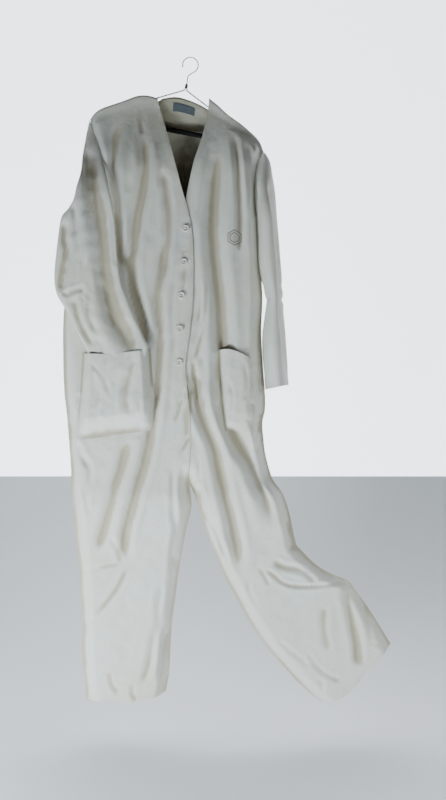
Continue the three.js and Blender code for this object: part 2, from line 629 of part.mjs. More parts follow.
function makeSleeve(side, edges, cuts, middle, halfDepth) {
  const slit = 0.0011;
  const tube = (part, from, to, rings) => {
    const shape = clothTube({ edges, from, to: justAbove(to, slit), rings, middle, halfDepth });
    addPiece(`${side}_${part}`, shape, cotton);
  };
  const hem = cut(1 - CUFF_HEM / SLEEVE_LENGTH);
  tube("sleeve_head", cut(0.02), cuts.head, 2);
  tube("upper_sleeve", cuts.head, cuts.elbowTop, 6);
  tube("elbow_fold", cuts.elbowTop, cuts.elbowFoot, 2);
  tube("forearm_sleeve", cuts.elbowFoot, hem, 4);
  tube("cuff_hem", hem, cut(1), 1);
}

makeSleeve(
  "right",
  { outer: rightSleeveOuter, inner: rightSleeveInner },
  { head: cut(0.11), elbowTop: cut(0.67, 0.57), elbowFoot: cut(0.71, 0.76) },
  rightSleeveMiddle, rightSleeveHalf,
);

// ---------------------------------------------------------------- left sleeve, hanging edge on
const leftCuff = leftTip.z - SLEEVE_LENGTH;
const leftBeside = (share) => leftSide(share).add(at(SLEEVE_BESIDE, 0));
const leftSleeveInner = line([
  ...[0.02, 0.06, 0.1, 0.15, 0.2, 0.26, 0.32, 0.38, 0.44, 0.5, 0.56, 0.62].map(leftBeside),
  at(leftBeside(0.66).x + 6, leftCuff),
]);
const leftSleeveOuter = line([
  leftTip.clone().add(at(6, -8)), at(leftTip.x + 22, bodyZ(0.2)), at(leftTip.x + 31, bodyZ(0.32)),
  at(leftTip.x + 41, bodyZ(0.44)), at(leftTip.x + 54, bodyZ(0.61)), at(leftTip.x + 63, leftCuff + 4),
]);
const leftElbow = 0.52; // share of the sleeve above its elbow fold
const leftSleeveMiddle = () => LEG_MIDDLE;
const leftSleeveHalf = (t) => mix(seatDepth + 6, LEFT_SLEEVE_DEPTH / 2, smooth(t / 0.3));

makeSleeve(
  "left",
  { outer: leftSleeveOuter, inner: leftSleeveInner },
  { head: cut(0.12), elbowTop: cut(leftElbow), elbowFoot: cut(leftElbow + ELBOW_FOLD / SLEEVE_LENGTH) },
  leftSleeveMiddle, leftSleeveHalf,
);

// ---------------------------------------------------------------- legs
const legTop = bodyFoot - GAP;
const legZ = (share) => legTop - share * LEG_LENGTH;
const hemZ = legZ(1);
const kneeShare = KNEE_DROP / LEG_LENGTH;
const halfKneeFold = KNEE_FOLD / 2 / LEG_LENGTH;
const leftKnee = cut(kneeShare - 0.025, kneeShare + 0.035); // slants up to the outer seam
const crotchHalf = 3; // each leg's inner edge from the centre seam
const crotchX = closure(1).x;

/**
 * A leg: a fold of cloth at the hip, front and back thigh panels, a fold at the knee,
 * front and back shank panels and a hem.
 */
function makeLeg(side, edges, kneeTop, kneeFoot, sag) {
  const slit = 0.0009;
  const kneeDepthFrom = (kneeTop.outer + kneeTop.inner) / 2;
  const middle = () => LEG_MIDDLE;
  const halfDepth = (t) => mix((FRONT_DEPTH + BACK_DEPTH) / 2, LEG_HALF_DEPTH, smooth(t / kneeDepthFrom));
  const tube = (part, from, to) => {
    const shape = clothTube({ edges, from, to: justAbove(to, slit), rings: 1, middle, halfDepth, sag });
    addPiece(`${side}_${part}`, shape, cotton);
  };
  const panel = (part, sign, from, to, rows) => {
    const seam = LAYER / 2 + 0.1;
    const surface = (u, s) => {
      const { a, b, t } = rowBetween(edges, from, justAbove(to, slit), s);
      const point = a.clone().lerp(b, u);
      const fromSeam = Math.min(u, 1 - u) * a.distanceTo(b);
      point.y = LEG_MIDDLE + sign * mix(seam, halfDepth(t), smooth(fromSeam / SIDE_ROUND));
      point.z -= sag * smooth((t - 0.5) * 2) * 4 * u * (1 - u);
      return point;
    };
    const columns = [0, 0.05, 0.12, 0.35, 0.65, 0.88, 0.95, 1];
    addPiece(`${side}_${part}`, clothOn(gridOf(surface, columns, steps(0, 1, rows))), cotton);
  };
  const hip = cut(HIP_FOLD / LEG_LENGTH);
  const hem = cut(1 - LEG_HEM / LEG_LENGTH);
  tube("hip_fold", cut(0), hip);
  panel("thigh_front", -1, hip, kneeTop, 4);
  panel("thigh_back", 1, hip, kneeTop, 4);
  tube("knee_fold", kneeTop, kneeFoot);
  panel("shank_front", -1, kneeFoot, hem, 5);
  panel("shank_back", 1, kneeFoot, hem, 5);
  tube("trouser_hem", hem, cut(1));
}

makeLeg("right", {
  outer: line([
    at(-BODY_RIGHT * 0.94, legTop), at(-BODY_RIGHT * 0.89, legZ(0.3)), at(-BODY_RIGHT * 0.86, legZ(0.47)),
    at(-BODY_RIGHT * 0.845, legZ(0.74)), at(-BODY_RIGHT * 0.815, hemZ),
  ]),
  inner: line([
    at(crotchX - crotchHalf, legTop), at(crotchX - 4, legZ(0.12)), at(crotchX - 27, legZ(0.41)),
    at(crotchX - 44, legZ(0.63)), at(crotchX - 52, hemZ + 28),
  ]),
}, cut(kneeShare - halfKneeFold), cut(kneeShare + halfKneeFold), 6);

makeLeg("left", {
  outer: line([
    at(BODY_LEFT * 1.12, legTop), at(BODY_LEFT * 1.3, legZ(0.12)), at(BODY_LEFT * 1.42, legZ(0.27)),
    at(BODY_LEFT * 1.42 + 50 * LEG_SPREAD, legZ(0.375)), at(BODY_LEFT * 1.42 + 120 * LEG_SPREAD, legZ(0.44)),
    at(BODY_LEFT * 1.42 + 195 * LEG_SPREAD, legZ(0.585)),
    at(BODY_LEFT * 1.42 + 252 * LEG_SPREAD, legZ(0.745)),
  ]),
  inner: line([
    at(crotchX + crotchHalf, legTop), at(crotchX + 8, legZ(0.06)), at(crotchX + 50 * LEG_SPREAD, legZ(0.25)),
    at(crotchX + 94 * LEG_SPREAD, legZ(0.46)), at(crotchX + 152 * LEG_SPREAD, legZ(0.62)),
    at(crotchX + 214 * LEG_SPREAD, legZ(0.77)), at(crotchX + 347 * LEG_SPREAD, hemZ),
  ]),
}, cut(leftKnee.outer - halfKneeFold, leftKnee.inner - halfKneeFold),
  cut(leftKnee.outer + halfKneeFold, leftKnee.inner + halfKneeFold), 24);

export default group;
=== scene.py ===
# %% [markdown]
# # A cotton coverall on its hanger
# A beekeeper's coverall is about four square metres of plain cotton drill, cut as flat panels and
# sewn into tubes. It hangs by its shoulders, so nearly every fold runs down from them. This lesson
# builds it in that order: outlines of the panels, the way the cloth stands off the hanger, folds,
# a short cloth simulation, then seams, stitches, buttons and the hanger itself.
# "Right" and "left" are the wearer's, so right is -X. All lengths in the cells are millimetres
# until a mesh is made, because that is how a garment is measured.

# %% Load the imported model, which is the frame that every piece is fitted to
import math

import bpy
import numpy as np
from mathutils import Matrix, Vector
from mathutils.bvhtree import BVHTree


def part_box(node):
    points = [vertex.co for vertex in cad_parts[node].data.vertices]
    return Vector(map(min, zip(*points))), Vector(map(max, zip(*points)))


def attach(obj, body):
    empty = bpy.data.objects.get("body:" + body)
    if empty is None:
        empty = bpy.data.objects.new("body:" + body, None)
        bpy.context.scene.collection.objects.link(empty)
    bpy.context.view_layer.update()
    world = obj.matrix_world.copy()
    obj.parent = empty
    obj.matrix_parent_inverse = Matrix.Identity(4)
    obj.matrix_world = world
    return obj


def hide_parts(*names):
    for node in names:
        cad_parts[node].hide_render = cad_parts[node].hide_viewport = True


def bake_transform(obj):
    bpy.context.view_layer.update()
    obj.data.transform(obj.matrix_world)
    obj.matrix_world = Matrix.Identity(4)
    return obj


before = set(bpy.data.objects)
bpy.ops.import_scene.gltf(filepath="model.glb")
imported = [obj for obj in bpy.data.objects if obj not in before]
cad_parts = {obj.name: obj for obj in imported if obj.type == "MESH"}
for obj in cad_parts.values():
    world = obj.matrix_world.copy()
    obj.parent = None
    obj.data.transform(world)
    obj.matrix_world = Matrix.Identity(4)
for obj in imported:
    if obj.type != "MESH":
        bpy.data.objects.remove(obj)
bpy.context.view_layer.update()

MM = 0.001
scene = bpy.context.scene

# %% [markdown]
# ## Camera first
# The camera stands level with the middle of the suit, straight in front of it, a little to the
# wearer's left because one trouser leg is flung out to that side.

# %% Camera
CAMERA_HEIGHT = -0.902
CAMERA_ACROSS = 0.086
CAMERA_AWAY = 2.93
camera_data = bpy.data.cameras.new("camera")
camera_data.lens = 50
camera = bpy.data.objects.new("camera", camera_data)
camera.location = (CAMERA_ACROSS, -CAMERA_AWAY, CAMERA_HEIGHT)
camera.rotation_euler = (math.radians(90), 0, 0)
scene.collection.objects.link(camera)
scene.camera = camera

# %% [markdown]
# ## Lines, edges and grids
# A panel is a grid of points between two edges. An edge is a short list of given points,
# and a smooth line is run through them.

# %% Smooth lines through a few points
def smooth(t):
    t = np.clip(t, 0.0, 1.0)
    return t * t * (3 - 2 * t)


def mix(a, b, t):
    return a + (b - a) * t


def smooth_line(points, count=200):
    """count points, evenly spaced along a smooth line through the given ones."""
    p = np.array(points, float)
    ends = np.vstack([2 * p[0] - p[1], p, 2 * p[-1] - p[-2]])
    t = np.linspace(0, 1, 24, endpoint=False)[:, None]
    runs = []
    for i in range(1, len(ends) - 2):
        a, b, c, d = ends[i - 1 : i + 3]
        runs.append(0.5 * (2 * b + (c - a) * t + (2 * a - 5 * b + 4 * c - d) * t**2
                           + (3 * b - a - 3 * c + d) * t**3))
    dense = np.vstack([*runs, p[-1:]])
    length = np.r_[0, np.cumsum(np.linalg.norm(np.diff(dense, axis=0), axis=1))]
    at = np.linspace(0, length[-1], count)
    return np.column_stack([np.interp(at, length, dense[:, k]) for k in range(dense.shape[1])])


def read(line, share):
    """Points of a line at shares 0 to 1 of its length."""
    at = np.asarray(share) * (len(line) - 1)
    return np.column_stack([np.interp(at, np.arange(len(line)), line[:, k]) for k in range(line.shape[1])])


def across_at(line, z):
    """The x of a line that runs downwards, at each level z."""
    return np.interp(-np.asarray(z), -line[:, 1], line[:, 0])


# %% [markdown]
# ## The pattern: edges of the panels
# These are the outlines of the suit as it hangs, as x and z. The side seams start at the ends of
# the hanger, run under the arms, and go on down the outside of the legs.

# %% Levels and edges
CROTCH = -1122.0

side_right = smooth_line([
    (-263, -160), (-250, -250), (-238, -330), (-232, -420), (-246, -500), (-280, -560), (-322, -625),
    (-333, -660), (-336, -746), (-333, -874), (-326, -940), (-321, -1000), (-315, -1080), (-314, -1131),
    (-306, -1210), (-299, -1290), (-291, -1350), (-289, -1400), (-284, -1480), (-284, -1560),
    (-277, -1640), (-273, -1690),
], 400)
side_left = smooth_line([
    (193, -247), (176, -300), (180, -390), (185, -470), (187, -560), (190, -640), (187, -720),
    (191, -800), (196, -870), (197, -925), (190, -962), (193, -1006), (199, -1050), (216, -1108),
    (238, -1140), (250, -1165), (262, -1205), (269, -1240), (276, -1272), (283, -1288),
], 400)
opening_right = smooth_line([
    (-86, -107), (-74, -150), (-60, -200), (-48, -250), (-35, -298), (-24, -342), (-14, -376), (-4, -416),
    (5, -463), (9, -520), (9, -598), (6, -665), (-2, -733), (-11, -795), (-12, -830), (-8, -861),
    (-2, -920), (2, -978), (1, -1040), (-4, -1100), (-3, -1122), (2, -1160), (2, -1190), (-12, -1250),
    (-21, -1300), (-30, -1350), (-38, -1410), (-47, -1479), (-52, -1550), (-56, -1620), (-62, -1660),
    (-72, -1678),
], 500)
opening_left = smooth_line([
    (49, -107), (44, -150), (36, -190), (26, -230), (13, -268), (3, -310), (-5, -348), (-12, -385),
    (-22, -430), (-24, -500), (-23, -598), (-28, -690), (-36, -760), (-40, -800), (-32, -835),
    (-7, -862), (-1, -920), (3, -978), (2, -1040), (-3, -1100), (-2, -1122), (10, -1150), (25, -1200),
    (47, -1262), (68, -1310), (82, -1345),
], 500)
shoulder_right = smooth_line([(-263, -168), (-250, -152), (-231, -140), (-179, -122), (-140, -108),
    (-112, -107), (-86, -114)])
shoulder_left = smooth_line([(49, -114), (72, -132), (99, -157), (140, -187), (179, -224), (193, -255)])
print("side seam, right:", round(float(across_at(side_right, -700))), "mm from the middle at the waist")

# %% [markdown]
# ## Folds
# Each fold is a line down the cloth with a width and a depth. Across a fold the cloth dips, and it
# rises a little on both sides, as a heavy cotton does. The list is read off the way a suit hangs:
# columns from the shoulders, drags across the lap towards the leg that is thrown out, and short
# crumples where a seam shortens the cloth.

# %% How a fold shapes the cloth
def lie_of(fold, x, z):
    """How deep a fold pushes the cloth in at each point."""
    half_width, depth, points = fold
    if len(points) > 2:
        line = smooth_line(points, 48)
    else:
        line = read(np.array(points, float), np.linspace(0, 1, 24))
    step = np.diff(line, axis=0)
    run = np.linalg.norm(step, axis=1)
    best = np.full(x.shape, 1e9)
    along = np.zeros(x.shape)
    for i in range(len(step)):
        t = np.clip(((x - line[i, 0]) * step[i, 0] + (z - line[i, 1]) * step[i, 1]) / run[i] ** 2, 0, 1)
        gap = np.hypot(x - line[i, 0] - t * step[i, 0], z - line[i, 1] - t * step[i, 1])
        near = gap < best
        best = np.where(near, gap, best)
        along = np.where(near, (i + t) / len(step), along)
    s = best / half_width
    taper = smooth(along / 0.14) * smooth((1 - along) / 0.14)
    dip = np.exp(-(s**1.5)) - 0.3 * np.exp(-(((s - 2.0) / 0.8) ** 2))
    return depth * dip * taper


def folded(folds, x, z):
    total = np.zeros(x.shape)
    for fold in folds:
        total += lie_of(fold, x, z)
    return total


def ripple(x, z, size, seed, stretch=1.0, waves=9):
    """Soft unevenness: a few waves of about the given length, longer downwards when stretched."""
    draw = np.random.default_rng(seed)
    total = np.zeros(x.shape)
    for _ in range(waves):
        angle = draw.uniform(0, math.pi)
        length = size * draw.uniform(0.7, 1.5)
        phase = draw.uniform(0, 2 * math.pi)
        total += np.sin(2 * math.pi * (x * math.cos(angle) + z * math.sin(angle) / stretch) / length + phase)
    return total / math.sqrt(waves)


# %% The folds of the front: half width, depth, line
front_folds = [
    # right chest
    (13, 13, [(-187, -160), (-197, -240), (-203, -310), (-196, -400), (-186, -500), (-172, -585)]),
    (6, 7, [(-131, -128), (-130, -165), (-126, -205)]),
    (13, 13, [(-128, -185), (-117, -240), (-115, -300), (-123, -360), (-137, -430), (-147, -500),
              (-152, -560), (-140, -640), (-120, -715), (-104, -790)]),
    (10, 5, [(-76, -290), (-62, -360), (-55, -430), (-60, -520), (-70, -590)]),
    (13, 9, [(-66, -480), (-74, -570), (-83, -640), (-78, -740), (-82, -840), (-92, -925)]),
    (12, 15, [(-84, -850), (-94, -930), (-105, -1010), (-116, -1065), (-132, -1120), (-152, -1190),
              (-167, -1255), (-173, -1325)]),
    (7, 3, [(-40, -560), (-47, -660), (-44, -760), (-52, -860), (-58, -960)]),
    (4, 2.5, [(-20, -500), (-17, -560), (-20, -640)]),
    # right hip and thigh
    (12, 9, [(-158, -1000), (-180, -1084), (-206, -1178), (-224, -1240), (-246, -1300)]),
    (9, 9, [(-284, -880), (-292, -930), (-308, -985), (-318, -1010)]),
    (7, 5, [(-308, -700), (-300, -760), (-312, -830), (-304, -890)]),
    (8, 6, [(-296, -1012), (-283, -1045), (-262, -1075)]),
    (6, 4, [(-262, -1060), (-258, -1110), (-270, -1150), (-262, -1200)]),
    (7, 7, [(-43, -1075), (-42, -1188), (-37, -1240), (-47, -1300), (-46, -1362)]),
    (5, 3, [(-208, -1255), (-190, -1295), (-181, -1330)]),
    # right knee and shin
    (4, 3, [(-292, -1352), (-240, -1341), (-182, -1330)]),
    (6, 6, [(-164, -1338), (-180, -1375), (-200, -1408), (-234, -1450), (-268, -1492)]),
    (7, 6, [(-270, -1480), (-276, -1540), (-270, -1610)]),
    (9, 7, [(-70, -1370), (-82, -1440), (-80, -1490), (-97, -1532), (-108, -1592), (-130, -1652)]),
    (7, 6, [(-66, -1500), (-72, -1570), (-78, -1640)]),
    (6, 4, [(-212, -1610), (-205, -1645), (-188, -1668)]),
    (6, 4, [(-150, -1640), (-152, -1665), (-140, -1684)]),
    # fly and crotch
    (4, 5, [(9, -800), (12, -838), (15, -872), (19, -905)]),
    (3.5, 4, [(-14, -868), (-11, -930), (-13, -1000)]),
    (4, 4, [(-24, -900), (-33, -935), (-40, -958)]),
    (3.5, 4, [(-6, -1000), (-16, -1020), (-24, -1040)]),
    (4, 4, [(5, -872), (2, -905), (8, -940)]),
    (5, 5, [(21, -1040), (26, -1115), (34, -1190), (68, -1250), (102, -1332)]),
    # left chest
    (8, 4, [(58, -220), (42, -290), (30, -360), (20, -440)]),
    (19, 22, [(84, -195), (72, -290), (63, -390), (62, -480), (70, -570), (80, -670), (85, -760),
              (85, -840), (94, -930), (118, -995), (156, -1055), (188, -1130), (208, -1195), (220, -1262)]),
    (8, 9, [(114, -195), (121, -250), (126, -320), (131, -430), (128, -520)]),
    (10, 8, [(150, -220), (160, -280), (166, -350), (171, -430)]),
    (4, 4.5, [(45, -585), (44, -640), (40, -700), (26, -750), (13, -800)]),
    (4, 3, [(34, -600), (27, -650), (22, -700)]),
    (7, 4, [(31, -780), (40, -850), (38, -930)]),
    # drags across the lap to the left leg
    (14, 16, [(10, -800), (15, -860), (23, -910), (41, -965), (64, -1020), (80, -1090), (96, -1165),
              (114, -1240), (125, -1310), (118, -1362)]),
    (7, 6, [(60, -1200), (74, -1262), (96, -1325)]),
    # left hip, short crumples by the seam
    (6, 6, [(168, -815), (176, -850), (182, -890)]),
    (6, 7, [(162, -905), (174, -935), (188, -950)]),
    (5, 5, [(172, -1000), (182, -968), (192, -940)]),
    (5, 4, [(168, -1040), (180, -1020), (192, -985)]),
    (6, 6, [(246, -1215), (262, -1255), (280, -1280)]),
    (5, 5, [(258, -1180), (268, -1228), (276, -1260)]),
    # left shank
    (5, 7, [(190, -1340), (214, -1356), (246, -1381), (286, -1389), (338, -1387), (392, -1379),
            (420, -1372)]),
    (8, 8, [(216, -1322), (246, -1338), (288, -1345), (316, -1364), (330, -1386)]),
    (5, 4, [(182, -1342), (196, -1365), (206, -1388)]),
    (6, 4, [(150, -1375), (158, -1410), (172, -1436)]),
    (11, 12, [(404, -1392), (417, -1440), (427, -1492), (437, -1545), (440, -1600)]),
    (9, 5, [(352, -1440), (350, -1500), (362, -1560)]),
    (6, 5, [(226, -1528), (258, -1554), (286, -1575), (318, -1602)]),
    (6, 5, [(304, -1562), (332, -1600), (366, -1625), (396, -1636)]),
    (6, 6, [(340, -1630), (346, -1652), (338, -1676)]),
    (7, 6, [(452, -1440), (466, -1490), (478, -1530)]),
    (5, 4, [(470, -1535), (492, -1540), (505, -1552)]),
]
print(len(front_folds), "folds on the front")

# %% The folds of the back
back_folds = [
    (5, 6, [(-40, -268), (-41, -330), (-44, -430)]),
    (5, 6, [(-22, -266), (-22, -330), (-24, -420)]),
    (5, 6, [(-6, -268), (-5, -330), (-3, -430)]),
    (6, 5, [(-70, -272), (-74, -340), (-82, -440)]),
    (6, 5, [(24, -274), (28, -340), (34, -440)]),
    (16, 13, [(-160, -300), (-172, -430), (-165, -600), (-178, -760), (-170, -930), (-182, -1060)]),
    (18, 14, [(-60, -420), (-70, -560), (-84, -700), (-80, -850), (-96, -980), (-120, -1120), (-150, -1260)]),
    (16, 12, [(40, -430), (46, -570), (40, -700), (52, -840), (60, -960), (92, -1080), (130, -1190),
              (160, -1290)]),
    (15, 12, [(112, -330), (120, -460), (128, -620), (124, -780), (130, -920), (160, -1050), (200, -1170)]),
    (12, 8, [(-250, -640), (-262, -760), (-255, -880), (-268, -1000)]),
    (12, 7, [(-230, -1080), (-238, -1180), (-228, -1300)]),
    (12, 8, [(-130, -1180), (-128, -1300), (-150, -1430), (-142, -1560)]),
    (9, 6, [(-230, -1400), (-222, -1500), (-236, -1620)]),
    (6, 6, [(-30, -1060), (-60, -1110), (-110, -1140)]),
    (6, 6, [(20, -1060), (54, -1106), (104, -1130)]),
    (7, 6, [(150, -1330), (220, -1352), (300, -1380), (380, -1392)]),
    (9, 7, [(230, -1420), (280, -1480), (320, -1560)]),
    (9, 7, [(380, -1430), (400, -1500), (420, -1570)]),
]

# %% [markdown]
# ## How far the cloth stands off the hanger
# At the shoulders the cloth lies on the hanger's thin arms. Lower down the front and the back part
# company, and at the knees they come together again. Near a side seam both curve in to meet.

# %% Depth of the front and back cloth
FRONT_DEPTH = -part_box("right_thigh_front")[0].y / MM + 1.2
BACK_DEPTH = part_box("back_panel")[1].y / MM - 0.8
SEAT = 7.7
SIDE_ROUND = 34.0
LEG_MIDDLE = -5.0
SHIN_HALF = 18.0
SEAM = 0.6
KNEE_LEVEL = -1345.0


def middle_at(z):
    """Where the side seam lies, front to back."""
    return LEG_MIDDLE * smooth((-1040 - z) / 110)


def cloth_depth(z, full):
    """Half depth of the suit at a level, away from its seams."""
    chest = mix(SEAT, full, smooth((-117 - z) / 200))
    leg = SHIN_HALF + (5 if full > 40 else -5)
    return mix(chest, leg, smooth((CROTCH + 20 - z) / (CROTCH + 20 - KNEE_LEVEL)))


def stand_off(z, from_side, from_inner, full):
    """Distance of the cloth from the middle, rounding in to the seams."""
    whole = cloth_depth(z, full)
    over_arm = np.minimum(mix(SEAT, SEAM, smooth((-268 - z) / 200)), whole)
    rim = mix(over_arm, whole, smooth(from_side / SIDE_ROUND))
    inseam = smooth((-1060 - z) / 90) * (1 - smooth(from_inner / SIDE_ROUND))
    return mix(rim, SEAM, inseam)


def front_surface(x, z, from_side, from_inner, layer=0.0):
    """y of the front cloth: its stand off, then its folds, which die out at the seams."""
    shape = -stand_off(z, from_side, from_inner, FRONT_DEPTH) + middle_at(z) * smooth((-1100 - z) / 60)
    room = np.clip((cloth_depth(z, FRONT_DEPTH) - SEAT) / (FRONT_DEPTH - SEAT), 0, 1) ** 0.7
    leg = smooth((-1100 - z) / 60)
    room = mix(room, mix(1.0, 0.72, smooth((-1250 - z) / 100)), leg)
    free = smooth(from_side / 22) * mix(1.0, smooth(from_inner / 18), smooth((-1060 - z) / 90))
    folds = folded(front_folds, x, z) * room
    under_sleeve = smooth((across_at(sleeve_front, z) + 14 - x) / 14)
    under_sleeve = under_sleeve * smooth((-240 - z) / 60) * smooth((z + 1010) / 20)
    folds = mix(folds, np.clip(folds, 1.5, None), under_sleeve)
    uneven = 1.5 * ripple(x, z, 170, 3, 2.2) + 0.45 * ripple(x, z, 46, 5, 1.5)
    flat = 1 - np.max([np.exp(-(np.hypot(x - bx, z - bz) / 15) ** 2) for bx, bz in button_spots], axis=0)
    return shape + (folds + uneven * room) * free * flat + layer


def back_surface(x, z, from_side, from_inner):
    shape = stand_off(z, from_side, from_inner, BACK_DEPTH) + middle_at(z) * smooth((-1100 - z) / 60)
    room = np.clip((cloth_depth(z, BACK_DEPTH) - SEAT) / (BACK_DEPTH - SEAT), 0, 1) ** 0.7
    room = mix(room, 0.8, smooth((-1100 - z) / 60))
    free = smooth(from_side / 22) * mix(1.0, smooth(from_inner / 18), smooth((-1060 - z) / 90))
    uneven = 1.6 * ripple(x, z, 170, 13, 2.2) + 0.45 * ripple(x, z, 46, 15, 1.5)
    return shape - (folded(back_folds, x, z) + uneven) * room * free


button_spots = []
for name in ("button_1", "button_2", "button_3", "button_4", "button_5"):
    low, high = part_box(name)
    button_spots.append(((low.x + high.x) / 2 / MM, (low.z + high.z) / 2 / MM))
sleeve_front = smooth_line([
    (-262, -178), (-250, -205), (-242, -229), (-229, -270), (-218, -309), (-207, -360), (-198, -408),
    (-192, -470), (-187, -536), (-177, -598), (-160, -640), (-140, -690), (-120, -735), (-104, -770),
], 300)
print("buttons at", [tuple(round(v) for v in spot) for spot in button_spots])

# %% [markdown]
# ## Grids of the four long panels
# A front is one piece of cloth from the shoulder to the hem. It is built whole, so that its folds
# run on through the hip and the knee, and it is cut into two objects later, above the knee.

# %% Front and back grids
CELL = 6.5  # about this many millimetres between points
FRONT_COLUMNS = 52


def levels(top, bottom, cell=CELL):
    return np.linspace(0, 1, int(round((top - bottom) / cell)) + 1)


def torso_grid(outer, inner, top_line, z_outer, z_inner, columns=FRONT_COLUMNS):
    """x and z of a panel from its top line down to a cut between two levels."""
    v = levels(z_inner[0], z_inner[1])[:, None]
    u = np.linspace(0, 1, columns)[None, :]
    zo = mix(z_outer[0], z_outer[1], v)
    zi = mix(z_inner[0], z_inner[1], v)
    xo = across_at(outer, zo)
    xi = across_at(inner, zi)
    x = mix(xo, xi, u)
    z = mix(zo, zi, u)
    top = read(top_line, u[0])
    fade = 1 - smooth(v * 7)
    x = x + (top[:, 0][None, :] - x[0][None, :]) * fade
    z = z + (top[:, 1][None, :] - z[0][None, :]) * fade
    return x, z


def shank_grid(top_x, top_z, outer, inner, hem):
    """x and z of the lower leg, from the cut above the knee to the hem."""
    rows = int(round(np.linalg.norm(outer[-1] - outer[0]) / CELL / 0.95)) + 1
    v = np.linspace(0, 1, rows)
    a = read(outer, v)
    b = read(inner, v)
    u = np.linspace(0, 1, top_x.shape[0])[None, :, None]
    grid = a[:, None, :] * (1 - u) + b[:, None, :] * u
    foot = read(hem, u[0, :, 0])
    grid += (foot - grid[-1])[None] * smooth((v - 0.6) / 0.4)[:, None, None]
    start = np.column_stack([top_x, top_z])
    grid += (start - grid[0])[None] * (1 - smooth(v / 0.15))[:, None, None]
    return grid[1:, :, 0], grid[1:, :, 1]


def rows_of(x, z, y):
    return np.stack([x, y, z], axis=2)


right_x, right_z = torso_grid(side_right, opening_right, shoulder_right, (-168, -1290), (-114, -1290))
left_x, left_z = torso_grid(side_left, opening_left, shoulder_left[::-1], (-255, -1262), (-114, -1345))
KNEE_ROW_RIGHT = right_x.shape[0] - 1
KNEE_ROW_LEFT = left_x.shape[0] - 1

right_shank_outer = smooth_line([(-299, -1290), (-291, -1350), (-289, -1400), (-283, -1480), (-284, -1560),
                                 (-277, -1640), (-273, -1690)])
right_shank_inner = smooth_line([(-19, -1290), (-30, -1350), (-38, -1410), (-47, -1479), (-52, -1550),
                                 (-56, -1620), (-64, -1668)])
right_hem = smooth_line([(-273, -1690), (-240, -1690), (-200, -1691), (-155, -1692), (-130, -1684),
                         (-105, -1682), (-80, -1676), (-64, -1667)])
left_shank_outer = smooth_line([(272, -1262), (279, -1284), (292, -1297), (312, -1318), (336, -1339),
    (362, -1355), (390, -1367), (414, -1377), (430, -1396), (468, -1448), (498, -1495), (527, -1543)])
left_shank_inner = smooth_line([(82, -1345), (96, -1376), (120, -1420), (146, -1468), (174, -1513),
    (208, -1560), (240, -1597), (270, -1630), (310, -1668), (340, -1691)])
left_hem = smooth_line([(527, -1543), (505, -1568), (484, -1590), (462, -1610), (440, -1642), (415, -1668),
                        (384, -1688), (360, -1695), (340, -1692)])
for_shank = shank_grid(right_x[-1], right_z[-1], right_shank_outer, right_shank_inner, right_hem)
right_x, right_z = np.vstack([right_x, for_shank[0]]), np.vstack([right_z, for_shank[1]])
for_shank = shank_grid(left_x[-1], left_z[-1], left_shank_outer, left_shank_inner, left_hem)
left_x, left_z = np.vstack([left_x, for_shank[0]]), np.vstack([left_z, for_shank[1]])
print("front grids", right_x.shape, left_x.shape)

# %% Depth of each grid, measured from its own edges
def edge_distances(x, z):
    """Distance of every point of a grid from its outer and its inner edge, along its own row."""
    across = np.hypot(x - x[:, :1], z - z[:, :1])
    return across, across[:, -1:] - across


def wrap_over(front):
    """Rows that carry the top of a front over the hanger's arm to the shoulder seam behind it."""
    turns = np.linspace(math.pi, 0, 9)[:-1]
    rows = []
    for turn in turns:
        row = front[0].copy()
        row[:, 1] = -SEAT * math.cos(turn)
        row[:, 2] += SEAT * math.sin(turn)
        rows.append(row)
    return np.stack(rows)


def front_grid(x, z, layer):
    grid = rows_of(x, z, front_surface(x, z, *edge_distances(x, z), layer))
    settle_top = 1 - smooth(np.arange(len(grid)) / 5)[:, None]
    grid[:, :, 1] = mix(grid[:, :, 1], -SEAT, settle_top)
    return grid


UNDER = 4.0  # the left front lies this far behind the right
right_front = front_grid(right_x, right_z, 0.0)
left_front = front_grid(left_x, left_z, UNDER * (1 - smooth((-840 - left_z) / 60)))
WRAP_ROWS = 8
right_front = np.concatenate([wrap_over(right_front), right_front])
left_front = np.concatenate([wrap_over(left_front), left_front])

# %% The back: a yoke, and two long panels under it
YOKE_SEAM = -266.0
neck_back = smooth_line([(-86, -114), (-76, -106), (-56, -102), (-36, -101), (-8, -108), (21, -120),
                         (38, -129), (49, -136)])
yoke_top = np.vstack([shoulder_right, neck_back[1:], smooth_line([(49, -136), (60, -134), (72, -138),
    (99, -159), (140, -188), (179, -224), (193, -255)])[1:]])
yoke_top = smooth_line(yoke_top[::12], 400)
YOKE_COLUMNS = 96


def yoke_grid():
    u = np.linspace(0, 1, YOKE_COLUMNS)
    v = np.linspace(0, 1, 30)
    top = read(yoke_top, u)
    foot_x = mix(across_at(side_right, YOKE_SEAM), across_at(side_left, YOKE_SEAM), u)
    foot_z = YOKE_SEAM + 5 * np.sin(u * math.pi) - 24 * u**3 * smooth((u - 0.5) * 2)
    grid = np.zeros((len(v), len(u), 3))
    for i, share in enumerate(v):
        x = mix(top[:, 0], foot_x, share)
        z = mix(top[:, 1], foot_z, share)
        out_right = across_at(side_right, z[0]) - x[0]
        out_left = across_at(side_left, z[-1]) - x[-1]
        x = x + out_right * (1 - u) ** 3 + out_left * u**3
        side = np.minimum(x - x[0], x[-1] - x)
        y = stand_off(z, side, np.full(x.shape, 1e3), BACK_DEPTH)
        grid[i] = np.column_stack([x, mix(np.full(x.shape, SEAT), y, smooth(share * 5)), z])
    return grid


yoke = yoke_grid()


